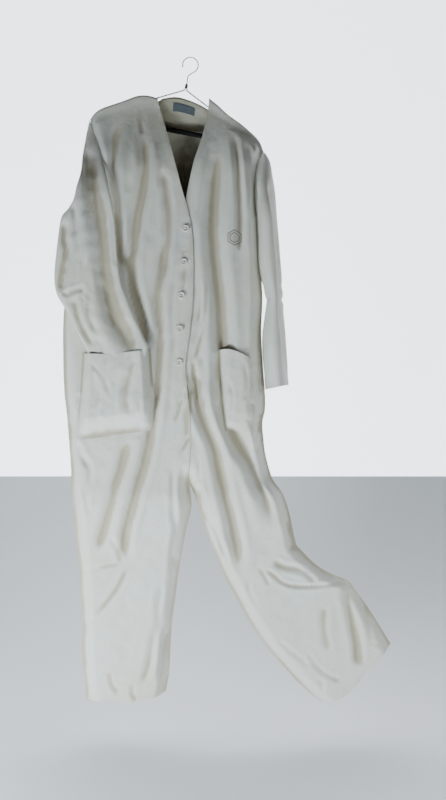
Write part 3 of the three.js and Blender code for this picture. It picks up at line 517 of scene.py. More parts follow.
def back_grid(front_x, front_z, z_top, inner_line):
    """A back panel shares its outline with the front one, from the yoke seam down."""
    start = int(np.argmax(front_z[:, 0] < z_top))
    x, z = front_x[start:].copy(), front_z[start:].copy()
    inner = across_at(inner_line, z[:, -1])
    torso = (z[:, -1] > CROTCH).astype(float)
    shift = (inner - x[:, -1]) * torso
    u = np.linspace(0, 1, x.shape[1])[None, :]
    x = x + shift[:, None] * u
    return rows_of(x, z, back_surface(x, z, *edge_distances(x, z)))


centre_back = smooth_line([(-30, -240), (-26, -400), (-20, -600), (-14, -800), (-6, -1000), (-3, CROTCH)])
right_back = back_grid(right_x, right_z, -262, centre_back)
left_back = back_grid(left_x, left_z, -285, centre_back)
print("back grids", right_back.shape, left_back.shape)

# %% [markdown]
# ## Sleeves
# A sleeve is a tube. The right one lies flattened over the front with its cuff pushed into the
# pocket, and the left one hangs edge on beside the body. Each ring of the tube runs between an
# outer and an inner edge, and the folds press on its front only.

# %% Sleeve tubes
SLEEVE_SIDES = 64


def tube(outer, inner, rows, middle, half_front, half_back, square=(0.86, 0.7)):
    """Rings between two edges. middle and the half depths are functions of the share down the tube."""
    v = np.linspace(0, 1, rows)
    a, b = read(outer, v), read(inner, v)
    angle = np.linspace(0, 2 * math.pi, SLEEVE_SIDES, endpoint=False)[None, :]
    c, s = np.cos(angle), np.sin(angle)
    wide = np.sign(c) * np.abs(c) ** square[0]
    deep = np.sign(s) * np.abs(s) ** square[1]
    centre, half = (a + b) / 2, (b - a) / 2
    x = centre[:, :1] + half[:, :1] * wide
    z = centre[:, 1:] + half[:, 1:] * wide
    front = half_front(v)[:, None]
    back = half_back(v)[:, None]
    y = middle(v)[:, None] + np.where(deep < 0, front, back) * deep
    return rows_of(x, z, y), np.clip(-deep, 0, 1) + 0 * x, np.clip(deep, 0, 1) + 0 * x


right_sleeve_outer = smooth_line([
    (-266, -166), (-274, -205), (-281, -260), (-284, -310), (-293, -350), (-301, -385), (-314, -408),
    (-328, -424), (-335, -445), (-340, -480), (-346, -530), (-350, -580), (-347, -615), (-338, -640),
    (-312, -682), (-288, -732), (-266, -774), (-258, -812),
], 300)
right_sleeve_inner = smooth_line([
    (-263, -172), (-252, -202), (-242, -232), (-229, -272), (-218, -309), (-207, -360), (-198, -408),
    (-192, -470), (-187, -536), (-177, -598), (-160, -642), (-140, -690), (-120, -737), (-108, -768),
    (-122, -804),
], 300)
sleeve_folds = [
    (21, 17, [(-258, -225), (-250, -320), (-238, -400), (-226, -480), (-220, -560), (-208, -630),
              (-186, -700),
              (-162, -750), (-148, -800)]),
    (7, 4, [(-270, -230), (-268, -300), (-262, -380), (-256, -460)]),
    (9, 9, [(-318, -435), (-322, -480), (-316, -520), (-326, -580), (-332, -630)]),
    (6, 5, [(-300, -400), (-292, -440), (-296, -480)]),
    (5, 5, [(-330, -632), (-300, -622), (-268, -612)]),
    (6, 7, [(-268, -530), (-267, -600), (-263, -668), (-248, -716), (-232, -728)]),
    (9, 6, [(-296, -640), (-286, -690), (-262, -740), (-246, -765)]),
    (8, 5, [(-222, -600), (-212, -660), (-196, -720)]),
    (5, 3, [(-236, -740), (-226, -765), (-230, -790)]),
    (6, 3, [(-200, -420), (-196, -500), (-190, -560)]),
]


def right_middle(t):
    return -mix(1.0, 61.0, smooth(t / 0.34))


def sleeve_half(t):
    return mix(10.0, 14.0, smooth(t / 0.25))


def right_back_half(t):
    return mix(9.0, 12.5, smooth(t / 0.25))


SLEEVE_ROWS = 112
ELBOW_ROW_RIGHT, ELBOW_ROW_LEFT = 62, 50  # where each sleeve is cut into upper sleeve and forearm
down_sleeve = np.linspace(0, 1, SLEEVE_ROWS)
right_sleeve, facing_front, facing_back = tube(
    right_sleeve_outer, right_sleeve_inner, SLEEVE_ROWS, right_middle, sleeve_half, right_back_half)
plain_right_sleeve = right_sleeve.copy()
sx, sz = right_sleeve[:, :, 0], right_sleeve[:, :, 2]
sleeve_free = smooth(down_sleeve / 0.12)[:, None] * smooth((1.02 - down_sleeve) / 0.1)[:, None]
press = folded(sleeve_folds, sx, sz) + 1.2 * ripple(sx, sz, 120, 21, 2.0) + 0.4 * ripple(sx, sz, 38, 22)
right_sleeve[:, :, 1] += np.clip(press, -6, 18) * smooth(facing_front / 0.55) * sleeve_free
right_sleeve[:, :, 1] += np.clip(ripple(sx, sz, 130, 23, 2.0), -1.5, 0) * facing_back * sleeve_free

left_sleeve_outer = smooth_line([
    (197, -252), (207, -268), (213, -290), (219, -340), (224, -400), (227, -440), (231, -490), (235, -540),
    (239, -600), (243, -660), (247, -720), (251, -780), (255, -830), (258, -862),
], 300)
left_sleeve_inner = smooth_line([
    (186, -258), (174, -285), (170, -320), (172, -390), (177, -470), (181, -540), (190, -590), (200, -640),
    (196, -680), (191, -730), (192, -780), (196, -830), (199, -874),
], 300)


def left_middle(t):
    return -5 + 0 * t


def left_half(t):
    return mix(12.0, 62.0, smooth(t / 0.3)) + 3 * np.sin(t * 9)


left_sleeve, _, _ = tube(
    left_sleeve_outer, left_sleeve_inner, SLEEVE_ROWS, left_middle, left_half, left_half, (1.0, 1.0))
plain_left_sleeve = left_sleeve.copy()
ly, lz = left_sleeve[:, :, 1], left_sleeve[:, :, 2]
side_folds = [
    (15, 9, [(-30, -300), (-38, -400), (-30, -520), (-40, -640), (-34, -760), (-44, -850)]),
    (14, 8, [(24, -300), (34, -420), (22, -540), (36, -650), (28, -780), (34, -850)]),
    (10, 3, [(-50, -560), (-20, -596), (30, -606)]),
    (7, 4, [(50, -620), (10, -640), (-30, -632)]),
]
outward = np.sign(left_sleeve[:, :, 0] - left_sleeve[:, :, 0].mean(axis=1, keepdims=True))
dent = folded(side_folds, ly, lz) * np.where(outward > 0, 1.0, 0.4) + 1.0 * ripple(ly, lz, 90, 31, 2.0)
left_free = smooth(down_sleeve / 0.2)[:, None]
half_width = np.abs(left_sleeve[:, :, 0] - left_sleeve[:, :, 0].mean(axis=1, keepdims=True))
left_sleeve[:, :, 0] -= outward * np.clip(dent, -3, 12) * left_free * smooth(half_width / 16)
print("sleeve rings", right_sleeve.shape, left_sleeve.shape)

# %% [markdown]
# ## Letting the cloth settle
# Each grid becomes a sheet of cloth that wants to be two per cent bigger than it is, held at its
# seams and hems, and is left to hang. At this grid's spacing it buckled into a zigzag from cell to
# cell, so the movement is smoothed, and that takes nearly all of it away: less than a millimetre is
# left on every panel. The folds that show are the ones pressed by formula above. This step only
# relaxes them a little, and a better one would use a finer grid, or pull less, and smooth less.

# %% A short cloth simulation on a grid
def settle(name, grid, hold, frames=16, swell=0.02, cap=9.0, around=False):
    """The grid after it has hung as cloth. hold is 1 where the cloth is sewn down, less where it is led."""
    rows, columns = grid.shape[:2]
    mesh = bpy.data.meshes.new(name)
    index = np.arange(rows * columns).reshape(rows, columns)
    nxt = np.roll(index, -1, axis=1) if around else index[:, 1:]
    now = index if around else index[:, :-1]
    quads = np.stack([now[:-1], nxt[:-1], nxt[1:], now[1:]], axis=2).reshape(-1, 4)
    mesh.from_pydata((grid.reshape(-1, 3) * MM).tolist(), [], quads.tolist())
    sheet = bpy.data.objects.new(name, mesh)
    scene.collection.objects.link(sheet)
    group = sheet.vertex_groups.new(name="held")
    flat = np.broadcast_to(hold, (rows, columns)).ravel()
    for weight in np.unique(np.round(flat, 2)):
        group.add(np.nonzero(np.abs(flat - weight) < 0.0051)[0].tolist(), float(weight), "REPLACE")
    cloth = sheet.modifiers.new("cloth", "CLOTH")
    settings = cloth.settings
    settings.quality = 6
    settings.mass = 0.12
    settings.tension_stiffness = 18
    settings.compression_stiffness = 18
    settings.shear_stiffness = 6
    settings.bending_stiffness = 0.25
    settings.air_damping = 2.0
    settings.vertex_group_mass = "held"
    settings.pin_stiffness = 1.2
    settings.shrink_min = -swell
    settings.effector_weights.gravity = 0.35
    cloth.collision_settings.use_collision = False
    cloth.point_cache.frame_start = 1
    cloth.point_cache.frame_end = frames
    for step in range(1, frames + 1):
        scene.frame_set(step)
    evaluated = sheet.evaluated_get(bpy.context.evaluated_depsgraph_get())
    moved = np.zeros(rows * columns * 3)
    evaluated.data.vertices.foreach_get("co", moved)
    bpy.data.objects.remove(sheet)
    bpy.data.meshes.remove(mesh)
    scene.frame_set(1)
    shift = moved.reshape(grid.shape) / MM - grid
    for _ in range(5):
        ends = (shift[:, -1:], shift[:, :1]) if around else (shift[:, :1], shift[:, -1:])
        wide = np.concatenate([ends[0], shift, ends[1]], axis=1)
        tall = np.concatenate([shift[:1], shift, shift[-1:]])
        shift = shift * 0.2 + (wide[:, :-2] + wide[:, 2:] + tall[:-2] + tall[2:]) * 0.2
    size = np.linalg.norm(shift, axis=2, keepdims=True)
    shift *= np.minimum(1, cap / np.maximum(size, 1e-6))
    print(name, "moved up to", round(float(size.max()), 1), "mm, on average", round(float(size.mean()), 2))
    return grid + shift


# %% How firmly each long panel is held: sewn edges fully, the rest led towards its shape
def hold_long(x, z, wrap, lap=0.0):
    """Holding weights of a front or back grid. lap is the width of the overlap that may not shift."""
    from_side, from_inner = edge_distances(x, z)
    rest = 0.42
    hold = np.full(x.shape, rest)
    hold = np.maximum(hold, 1 - smooth(from_side / 12) * (1 - rest))
    hold = np.maximum(hold, 1 - smooth((from_inner - lap) / 12) * (1 - rest))
    hold = np.maximum(hold, 1 - smooth(np.arange(len(x)) / 10)[:, None] * (1 - rest))
    hold = np.maximum(hold, 1 - smooth((len(x) - 1 - np.arange(len(x))) / 6)[:, None] * (1 - rest))
    pocket_across = smooth((x + 316) / 10) * smooth((-84 - x) / 10)
    pocket = pocket_across * smooth((-740 - z) / 30) * smooth((z + 1020) / 20)
    hold = np.maximum(hold, rest + (0.97 - rest) * pocket * (wrap > 0))
    for bx, bz in button_spots:
        hold = np.maximum(hold, 1 - smooth((np.hypot(x - bx, z - bz) - 12) / 10) * (1 - rest))
    return np.concatenate([np.ones((wrap, x.shape[1])), hold]) if wrap else hold


# %% [markdown]
# ## The pattern
# The flat size of each piece of cloth is taken here, before the simulation, and from the outlines
# alone: the depth is set to nothing, so no fold counts. The sleeves keep their plain tubes, as they
# were before folds. A piece that is stretched later can then be told from its pattern.

# %% The pattern, kept flat
def flat_panel(grid, first=0, last=None):
    """A panel's outline laid flat: its x and z, with no depth."""
    kept = grid[first:last].copy()
    kept[:, :, 1] = 0
    return kept


PATTERN = {
    "right_front": flat_panel(right_front, WRAP_ROWS), "left_front": flat_panel(left_front, WRAP_ROWS),
    "right_back": flat_panel(right_back), "left_back": flat_panel(left_back), "yoke": flat_panel(yoke),
}

# %% Settling
right_front = settle("settle_right_front", right_front, hold_long(right_x, right_z, WRAP_ROWS, 8))
left_front = settle("settle_left_front", left_front, hold_long(left_x, left_z, WRAP_ROWS, 40))
right_back = settle("settle_right_back", right_back, hold_long(right_back[:, :, 0], right_back[:, :, 2], 0))
left_back = settle("settle_left_back", left_back, hold_long(left_back[:, :, 0], left_back[:, :, 2], 0))
from_top = np.arange(SLEEVE_ROWS)
ends = np.maximum(1 - smooth(from_top / 12), 1 - smooth((SLEEVE_ROWS - 1 - from_top) / 8))[:, None]
right_sleeve = settle("settle_right_sleeve", right_sleeve, np.maximum(ends, 0.5), cap=5.0, around=True)
left_sleeve = settle("settle_left_sleeve", left_sleeve, np.maximum(ends, 0.5), cap=5.0, around=True)
# the back of the right sleeve stays in front of the body's cloth, more and more so below the shoulder
clear_of_body = -46.5 + 50 * (1 - smooth(down_sleeve / 0.32))[:, None]
depth = right_sleeve[:, :, 1]
right_sleeve[:, :, 1] = np.where(facing_back > 0.05, np.minimum(depth, clear_of_body), depth)

# %% [markdown]
# ## Cloth with a thickness
# Each grid now becomes a closed sheet: the face, the back, and the cut edge between them. The
# normals are worked out on the whole grid before it is cut into objects, so no line shows where one
# object ends and the next begins. The UV map is the cloth measured along itself, in metres, and the
# weave follows it. An attribute marks the insides of folds, where the shader paints shade.

# %% Materials: shared shader groups
def group_tree(name, inputs, outputs):
    """A shader node group with named sockets."""
    tree = bpy.data.node_groups.new(name, "ShaderNodeTree")
    for label, kind, value in inputs:
        socket = tree.interface.new_socket(name=label, in_out="INPUT", socket_type=kind)
        if value is not None:
            socket.default_value = value
    for label, kind in outputs:
        tree.interface.new_socket(name=label, in_out="OUTPUT", socket_type=kind)
    entry, end = tree.nodes.new("NodeGroupInput"), tree.nodes.new("NodeGroupOutput")
    return tree, entry, end


def node(tree, kind, **values):
    """A node with its properties set, and its inputs by name or number."""
    made = tree.nodes.new(kind)
    for key, value in values.items():
        if key == "inputs":
            for socket, content in value.items():
                made.inputs[socket].default_value = content
        else:
            setattr(made, key, value)
    return made


def mathed(tree, operation, a, b=None, clamp=False, add=0.0):
    """A math node fed by sockets or numbers; add is the third value, which MULTIPLY_ADD adds on."""
    made = node(tree, "ShaderNodeMath", operation=operation, use_clamp=clamp)
    for i, value in enumerate((a, b, add)):
        if isinstance(value, (int, float)):
            made.inputs[i].default_value = value
        elif value is not None:
            tree.links.new(value, made.inputs[i])
    return made.outputs[0]


def tinted(tree, share, a, b):
    """A colour mixed between two by a share; each may be a colour or a socket."""
    made = node(tree, "ShaderNodeMix", data_type="RGBA")
    tree.links.new(share, made.inputs[0])
    for socket, value in ((made.inputs[6], a), (made.inputs[7], b)):
        if isinstance(value, tuple):
            socket.default_value = (*value, 1)
        else:
            tree.links.new(value, socket)
    return made.outputs[2]


# %% [markdown]
# ### Twill weave
# Cotton drill has diagonal ribs, each a thread or two wide, crossed by the threads of the weft. The
# group works on UV in metres and puts out a height and a mask of the gaps between the threads.

# %% The weave group
FLOAT, COLOR, VECTOR = "NodeSocketFloat", "NodeSocketColor", "NodeSocketVector"
weave, entry, end = group_tree(
    "cotton weave", [("UV", VECTOR, None), ("Threads per metre", FLOAT, 1100.0), ("Slub", FLOAT, 0.4)],
    [("Height", FLOAT), ("Gap", FLOAT)])
split = node(weave, "ShaderNodeSeparateXYZ")
weave.links.new(entry.outputs["UV"], split.inputs[0])
slubs = node(weave, "ShaderNodeTexNoise", inputs={"Scale": 420.0, "Detail": 2.0})
weave.links.new(entry.outputs["UV"], slubs.inputs["Vector"])
turn = math.tau
along_x = mathed(weave, "MULTIPLY", split.outputs[0], entry.outputs["Threads per metre"])
along_y = mathed(weave, "MULTIPLY", split.outputs[1], entry.outputs["Threads per metre"])
diagonal = mathed(weave, "ADD", along_x, mathed(weave, "MULTIPLY", along_y, 0.6))
rib = mathed(weave, "SINE", mathed(weave, "MULTIPLY", diagonal, turn / 2.4))
weft = mathed(weave, "SINE", mathed(weave, "MULTIPLY", along_y, turn))
both = mathed(weave, "ADD", mathed(weave, "MULTIPLY", rib, 0.7), mathed(weave, "MULTIPLY", weft, 0.3))
slubbed = mathed(weave, "MULTIPLY", slubs.outputs["Fac"], entry.outputs["Slub"])
weave.links.new(mathed(weave, "ADD", both, slubbed), end.inputs["Height"])
weave.links.new(mathed(weave, "MULTIPLY_ADD", both, -0.5, True, 0.5), end.inputs["Gap"])

# %% [markdown]
# ### Age, washing and painted fold shade
# Unbleached cotton yellows unevenly, in soft clouds over whole panels. The group mixes a clean colour
# and an aged one by a cloudy mask, and darkens the insides of folds to a warm brown: painted shade.

# %% The washed cotton group
aging_and_fold_shade, entry, end = group_tree(
    "washed cotton with painted fold shade",
    [("Place", VECTOR, None), ("Fold shade share", FLOAT, 0.0), ("Clean", COLOR, (0.8, 0.8, 0.75, 1)),
     ("Yellowed", COLOR, (0.7, 0.64, 0.46, 1)), ("Painted fold shade", COLOR, (0.3, 0.25, 0.14, 1)),
     ("Cloud size", FLOAT, 5.0), ("Clouds", FLOAT, 0.5)],
    [("Color", COLOR), ("Wear", FLOAT)])
clouds = node(aging_and_fold_shade, "ShaderNodeTexNoise", inputs={"Detail": 4.0, "Roughness": 0.55})
aging_and_fold_shade.links.new(entry.outputs["Place"], clouds.inputs["Vector"])
aging_and_fold_shade.links.new(entry.outputs["Cloud size"], clouds.inputs["Scale"])
specks = node(aging_and_fold_shade, "ShaderNodeTexNoise", inputs={"Scale": 90.0, "Detail": 3.0})
aging_and_fold_shade.links.new(entry.outputs["Place"], specks.inputs["Vector"])
cloud_share = mathed(aging_and_fold_shade, "MULTIPLY", mathed(aging_and_fold_shade, "MULTIPLY_ADD", clouds.outputs["Fac"], 2.2, True, -0.6),
                     entry.outputs["Clouds"])
speck_share = mathed(aging_and_fold_shade, "MULTIPLY", specks.outputs["Fac"], 0.12)
clouded = tinted(aging_and_fold_shade, cloud_share, entry.outputs["Clean"], entry.outputs["Yellowed"])
# painted shade: the insides of folds are darkened towards the warm brown fold colour
fold_shaded = tinted(aging_and_fold_shade, entry.outputs["Fold shade share"], clouded, entry.outputs["Painted fold shade"])
dusty = tinted(aging_and_fold_shade, speck_share, fold_shaded, (0.42, 0.38, 0.28))
aging_and_fold_shade.links.new(dusty, end.inputs["Color"])
aging_and_fold_shade.links.new(mathed(aging_and_fold_shade, "MULTIPLY_ADD", clouds.outputs["Fac"], 0.2, add=-0.05), end.inputs["Wear"])
print("shader groups:", weave.name, "and", aging_and_fold_shade.name)


# %% Cotton, outside and inside, and the small materials
def bumped(tree, height, strength, distance, normal=None):
    """A bump from a height, on top of another normal if there is one."""
    made = node(tree, "ShaderNodeBump", inputs={"Strength": strength, "Distance": distance})
    tree.links.new(height, made.inputs["Height"])
    if normal is not None:
        tree.links.new(normal, made.inputs["Normal"])
    return made.outputs[0]


def material(name, **shader):
    """A material with a Principled shader, whose plain values are set on its own sockets."""
    made = bpy.data.materials.new(name)
    made.use_nodes = True
    tree = made.node_tree
    principled = tree.nodes["Principled BSDF"]
    for socket, value in shader.items():
        principled.inputs[socket.replace("_", " ")].default_value = value
    return made, tree, principled


def cotton_material(name, clean, yellowed, clouds, threads=1100.0, weave_depth=0.00022):
    made, tree, principled = material(name, Sheen_Weight=0.35, Sheen_Roughness=0.5, Specular_IOR_Level=0.2)
    uv = node(tree, "ShaderNodeUVMap", uv_map="cloth").outputs[0]
    place = node(tree, "ShaderNodeTexCoord").outputs["Object"]
    fold_shade = node(tree, "ShaderNodeAttribute", attribute_name="fold_shade").outputs["Fac"]
    seam = node(tree, "ShaderNodeAttribute", attribute_name="seam").outputs["Fac"]
    aging_and_shade = node(tree, "ShaderNodeGroup", node_tree=aging_and_fold_shade)
    aging_and_shade.inputs["Clean"].default_value = (*clean, 1)
    aging_and_shade.inputs["Yellowed"].default_value = (*yellowed, 1)
    aging_and_shade.inputs["Clouds"].default_value = clouds
    tree.links.new(place, aging_and_shade.inputs["Place"])
    # Painted shade: a warm brown that the insides of folds are darkened to, by up to three quarters.
    aging_and_shade.inputs["Painted fold shade"].default_value = (0.56 * yellowed[0], 0.48 * yellowed[1], 0.4 * yellowed[2], 1)
    tree.links.new(mathed(tree, "MULTIPLY", fold_shade, 0.75), aging_and_shade.inputs["Fold shade share"])
    cloth = node(tree, "ShaderNodeGroup", node_tree=weave)
    cloth.inputs["Threads per metre"].default_value = threads
    tree.links.new(uv, cloth.inputs["UV"])
    # painted shade: the gaps between the threads are darkened towards a brown
    thread_gap_shade = mathed(tree, "MULTIPLY", cloth.outputs["Gap"], 0.12)
    colour = tinted(tree, thread_gap_shade, aging_and_shade.outputs["Color"], tuple(0.55 * v for v in yellowed))
    seam_share = mathed(tree, "MULTIPLY", seam, 0.16)
    colour = tinted(tree, seam_share, colour, tuple(0.8 * v for v in yellowed))
    tree.links.new(colour, principled.inputs["Base Color"])
    rough = mathed(tree, "ADD", aging_and_shade.outputs["Wear"], 0.72)
    tree.links.new(rough, principled.inputs["Roughness"])
    crumple = node(tree, "ShaderNodeTexNoise", inputs={"Scale": 42.0, "Detail": 5.0, "Roughness": 0.62})
    tree.links.new(place, crumple.inputs["Vector"])
    stretch = node(tree, "ShaderNodeMapping", inputs={"Scale": (150.0, 28.0, 1.0)})
    tree.links.new(uv, stretch.inputs["Vector"])
    pucker = node(tree, "ShaderNodeTexNoise", inputs={"Scale": 1.0, "Detail": 3.0})
    tree.links.new(stretch.outputs[0], pucker.inputs["Vector"])
    gathered = mathed(tree, "MULTIPLY", pucker.outputs["Fac"], seam)
    normal = bumped(tree, crumple.outputs["Fac"], 0.5, 0.0045)
    normal = bumped(tree, gathered, 0.6, 0.003, normal)
    normal = bumped(tree, cloth.outputs["Height"], 0.5, weave_depth, normal)
    tree.links.new(normal, principled.inputs["Normal"])
    return made


cotton = cotton_material("cotton drill", (0.8, 0.81, 0.765), (0.74, 0.69, 0.5), 0.5)
cotton_inside = cotton_material("inside of the cotton", (0.7, 0.7, 0.6), (0.6, 0.54, 0.36), 0.7)
label_cloth = cotton_material("woven label", (0.13, 0.16, 0.19), (0.11, 0.13, 0.14), 0.4, 1800.0, 0.00015)
thread = cotton_material("sewing thread", (0.72, 0.71, 0.62), (0.6, 0.52, 0.36), 0.3, 3200.0, 0.0001)

def vary_roughness(tree, principled, noise, spread, least):
    """Roughness that wanders with a noise, from least upwards by spread."""
    tree.links.new(mathed(tree, "MULTIPLY_ADD", noise, spread, add=least), principled.inputs["Roughness"])


badge_print, tree, principled = material("printed badge", Specular_IOR_Level=0.3)
place = node(tree, "ShaderNodeTexCoord").outputs["Object"]
wear_noise = node(tree, "ShaderNodeTexNoise", inputs={"Scale": 260.0, "Detail": 4.0})
tree.links.new(place, wear_noise.inputs["Vector"])
worn = mathed(tree, "MULTIPLY_ADD", wear_noise.outputs["Fac"], 0.9, True, 0.3)
tree.links.new(tinted(tree, mathed(tree, "MULTIPLY", worn, 0.35), (0.07, 0.065, 0.05), (0.4, 0.38, 0.3)),
               principled.inputs["Base Color"])
vary_roughness(tree, principled, wear_noise.outputs["Fac"], 0.3, 0.5)
tree.links.new(bumped(tree, wear_noise.outputs["Fac"], 0.3, 0.0005), principled.inputs["Normal"])

button_plastic, tree, principled = material(
    "pearly button plastic", Coat_Weight=0.5, Coat_Roughness=0.15, Subsurface_Weight=0.15,
    Subsurface_Scale=0.002)
place = node(tree, "ShaderNodeTexCoord").outputs["Object"]
swirl = node(tree, "ShaderNodeTexNoise", inputs={"Scale": 130.0, "Detail": 3.0, "Distortion": 1.6})
tree.links.new(place, swirl.inputs["Vector"])
tree.links.new(tinted(tree, swirl.outputs["Fac"], (0.9, 0.88, 0.8), (0.7, 0.67, 0.58)),
               principled.inputs["Base Color"])
vary_roughness(tree, principled, swirl.outputs["Fac"], 0.25, 0.18)
tree.links.new(bumped(tree, swirl.outputs["Fac"], 0.15, 0.0003), principled.inputs["Normal"])

hanger_metal, tree, principled = material("zinc plated wire", Metallic=1.0)
place = node(tree, "ShaderNodeTexCoord").outputs["Object"]
spots = node(tree, "ShaderNodeTexNoise", inputs={"Scale": 900.0, "Detail": 4.0})
tree.links.new(place, spots.inputs["Vector"])
tree.links.new(tinted(tree, spots.outputs["Fac"], (0.62, 0.62, 0.6), (0.42, 0.42, 0.4)),
               principled.inputs["Base Color"])
vary_roughness(tree, principled, spots.outputs["Fac"], 0.4, 0.15)
tree.links.new(bumped(tree, spots.outputs["Fac"], 0.25, 0.0002), principled.inputs["Normal"])

grip_foam, tree, principled = material("black foam grip", Specular_IOR_Level=0.12)
place = node(tree, "ShaderNodeTexCoord").outputs["Object"]
pores = node(tree, "ShaderNodeTexVoronoi", inputs={"Scale": 1100.0})
tree.links.new(place, pores.inputs["Vector"])
tree.links.new(tinted(tree, pores.outputs["Distance"], (0.006, 0.006, 0.006), (0.022, 0.021, 0.02)),
               principled.inputs["Base Color"])
vary_roughness(tree, principled, pores.outputs["Distance"], 0.2, 0.78)
tree.links.new(bumped(tree, pores.outputs["Distance"], 0.5, 0.0004), principled.inputs["Normal"])
print("materials:", ", ".join(m.name for m in bpy.data.materials if m.users == 0 or m.use_nodes))

# %% [markdown]
# ### From grid to cloth object
# The face is the grid itself and the back lies one thickness behind it. Where a face edge has no
# neighbour, the rim closes the sheet, so that every piece is a solid a slicer could read.

# %% Normals, hollows and lengths of a whole grid
THICK = 0.9


def normals_of(grid, outward=None, around=False):
    """Unit normals that point out: along outward, or away from the middle of each ring."""
    if around:
        across = np.roll(grid, -1, axis=1) - np.roll(grid, 1, axis=1)
    else:
        across = np.gradient(grid, axis=1)
    normal = np.cross(across, np.gradient(grid, axis=0))
    normal /= np.maximum(np.linalg.norm(normal, axis=2, keepdims=True), 1e-9)
    away = grid - grid.mean(axis=1, keepdims=True) if outward is None else np.array(outward, float)
    return normal * np.sign((normal * away).sum())


# The fold mask below is used only by the cotton shader, to paint shade into the insides of folds.
def hollows_of(grid, normal, around=False):
    """1 deep inside a fold, 0 on the open cloth: how far a blurred copy of the cloth lies outside it."""
    soft = grid.copy()
    for _ in range(36):
        ends = (soft[:, -1:], soft[:, :1]) if around else (soft[:, :1], soft[:, -1:])
        wide = np.concatenate([ends[0], soft, ends[1]], axis=1)
        tall = np.concatenate([soft[:1], soft, soft[-1:]])
        soft = (wide[:, :-2] + wide[:, 2:] + tall[:-2] + tall[2:]) / 4
    return np.clip(((soft - grid) * normal).sum(axis=2) / 3.2, 0, 1)


def lengths_of(grid, around=False):
    """UV in metres: along each row, and down the middle column."""
    closed = np.concatenate([grid, grid[:, :1]], axis=1) if around else grid
    run = np.linalg.norm(np.diff(closed, axis=1), axis=2)
    u = np.concatenate([np.zeros((len(grid), 1)), np.cumsum(run, axis=1)], axis=1)
    fall = np.linalg.norm(np.diff(closed[:, closed.shape[1] // 2], axis=0), axis=1)
    v = np.broadcast_to(-np.r_[0, np.cumsum(fall)][:, None], u.shape)
    return np.stack([u - u.mean(), v], axis=2) * MM


def seams_of(grid, around=False, sides=True):
    """1 at a sewn edge, fading to 0 within 20 mm."""
    rows = np.linalg.norm(np.diff(grid[:, grid.shape[1] // 2], axis=0), axis=1)
    down = np.r_[0, np.cumsum(rows)]
    near = np.minimum(down, down[-1] - down)[:, None] + np.zeros(grid.shape[1])
    if not around and sides:
        run = np.concatenate([np.zeros((len(grid), 1)),
                              np.cumsum(np.linalg.norm(np.diff(grid, axis=1), axis=2), axis=1)], axis=1)
        near = np.minimum(near, np.minimum(run, run[:, -1:] - run))
    return 1 - smooth(near / 20)


# %% The cloth object
def quads_between(index, around=False):
    """Corner numbers of the quads of a grid of numbers."""
    if around:
        index = np.concatenate([index, index[:, :1]], axis=1)
    return np.stack([index[:-1, :-1], index[:-1, 1:], index[1:, 1:], index[1:, :-1]], axis=-1).reshape(-1, 4)


def cloth(name, grid, outward=None, around=False, rows=(0, None), thickness=THICK, materials=(None, None)):
    """A closed sheet of cloth from rows of a grid. Its face is the grid and its back lies behind it."""
    part = slice(rows[0], rows[1])
    normal = normals_of(grid, outward, around)
    # the first mark is used only to paint shade into the insides of folds
    marks = {"fold_shade": hollows_of(grid, normal, around)[part], "seam": seams_of(grid, around)[part]}
    uv = lengths_of(grid, around)[part]
    face, normal = grid[part], normal[part]
    shape = face.shape[:2]
    count = shape[0] * shape[1]
    quads = quads_between(np.arange(count).reshape(shape), around)
    corners = quads_between(np.arange(uv.shape[0] * uv.shape[1]).reshape(uv.shape[:2]))
    points = face.reshape(-1, 3)
    sample = quads[len(quads) // 2]
    turn = np.cross(points[sample[1]] - points[sample[0]], points[sample[3]] - points[sample[0]])
    if turn @ normal.reshape(-1, 3)[sample[0]] < 0:
        quads, corners = quads[:, ::-1], corners[:, ::-1]
    edges = np.stack([quads, np.roll(quads, -1, axis=1)], axis=2).reshape(-1, 2)
    places = np.stack([corners, np.roll(corners, -1, axis=1)], axis=2).reshape(-1, 2)
    open_edge = ~np.isin(edges[:, 0] * count + edges[:, 1], edges[:, 1] * count + edges[:, 0])
    a, b = edges[open_edge].T
    pa, pb = places[open_edge].T
    rim = np.stack([b, a, a + count, b + count], axis=1)
    faces = np.concatenate([quads, quads[:, ::-1] + count, rim])
    flat_uv = uv.reshape(-1, 2)
    loops = np.concatenate([flat_uv[corners], flat_uv[corners[:, ::-1]],
                            flat_uv[np.stack([pb, pa, pa, pb], axis=1)]])
    both = np.concatenate([points, points - normal.reshape(-1, 3) * thickness]) * MM
    mesh = bpy.data.meshes.new(name)
    mesh.from_pydata(both.tolist(), [], faces.tolist())
    mesh.uv_layers.new(name="cloth").data.foreach_set("uv", loops.reshape(-1).astype(np.float32))
    for label, values in marks.items():
        layer = mesh.attributes.new(label, "FLOAT", "POINT")
        layer.data.foreach_set("value",
                               np.concatenate([values.ravel(), values.ravel() * 0.5]).astype(np.float32))
    outer, inner = materials[0] or cotton, materials[1] or cotton_inside
    mesh.materials.append(outer)
    mesh.materials.append(inner)
    sides = np.zeros(len(faces), np.int32)
    sides[len(quads) : 2 * len(quads)] = 1
    mesh.polygons.foreach_set("material_index", sides)
    mesh.polygons.foreach_set("use_smooth", np.ones(len(faces), bool))
    mesh.normals_split_custom_set_from_vertices(
        np.concatenate([normal.reshape(-1, 3), -normal.reshape(-1, 3)]).tolist())
    made = bpy.data.objects.new(name, mesh)
    scene.collection.objects.link(made)
    return made


def crossing(pieces, a, b, start, end):
    """Pieces that lie across a joint between two bodies: each has its transform baked into its mesh."""
    for piece in pieces:
        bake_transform(piece)


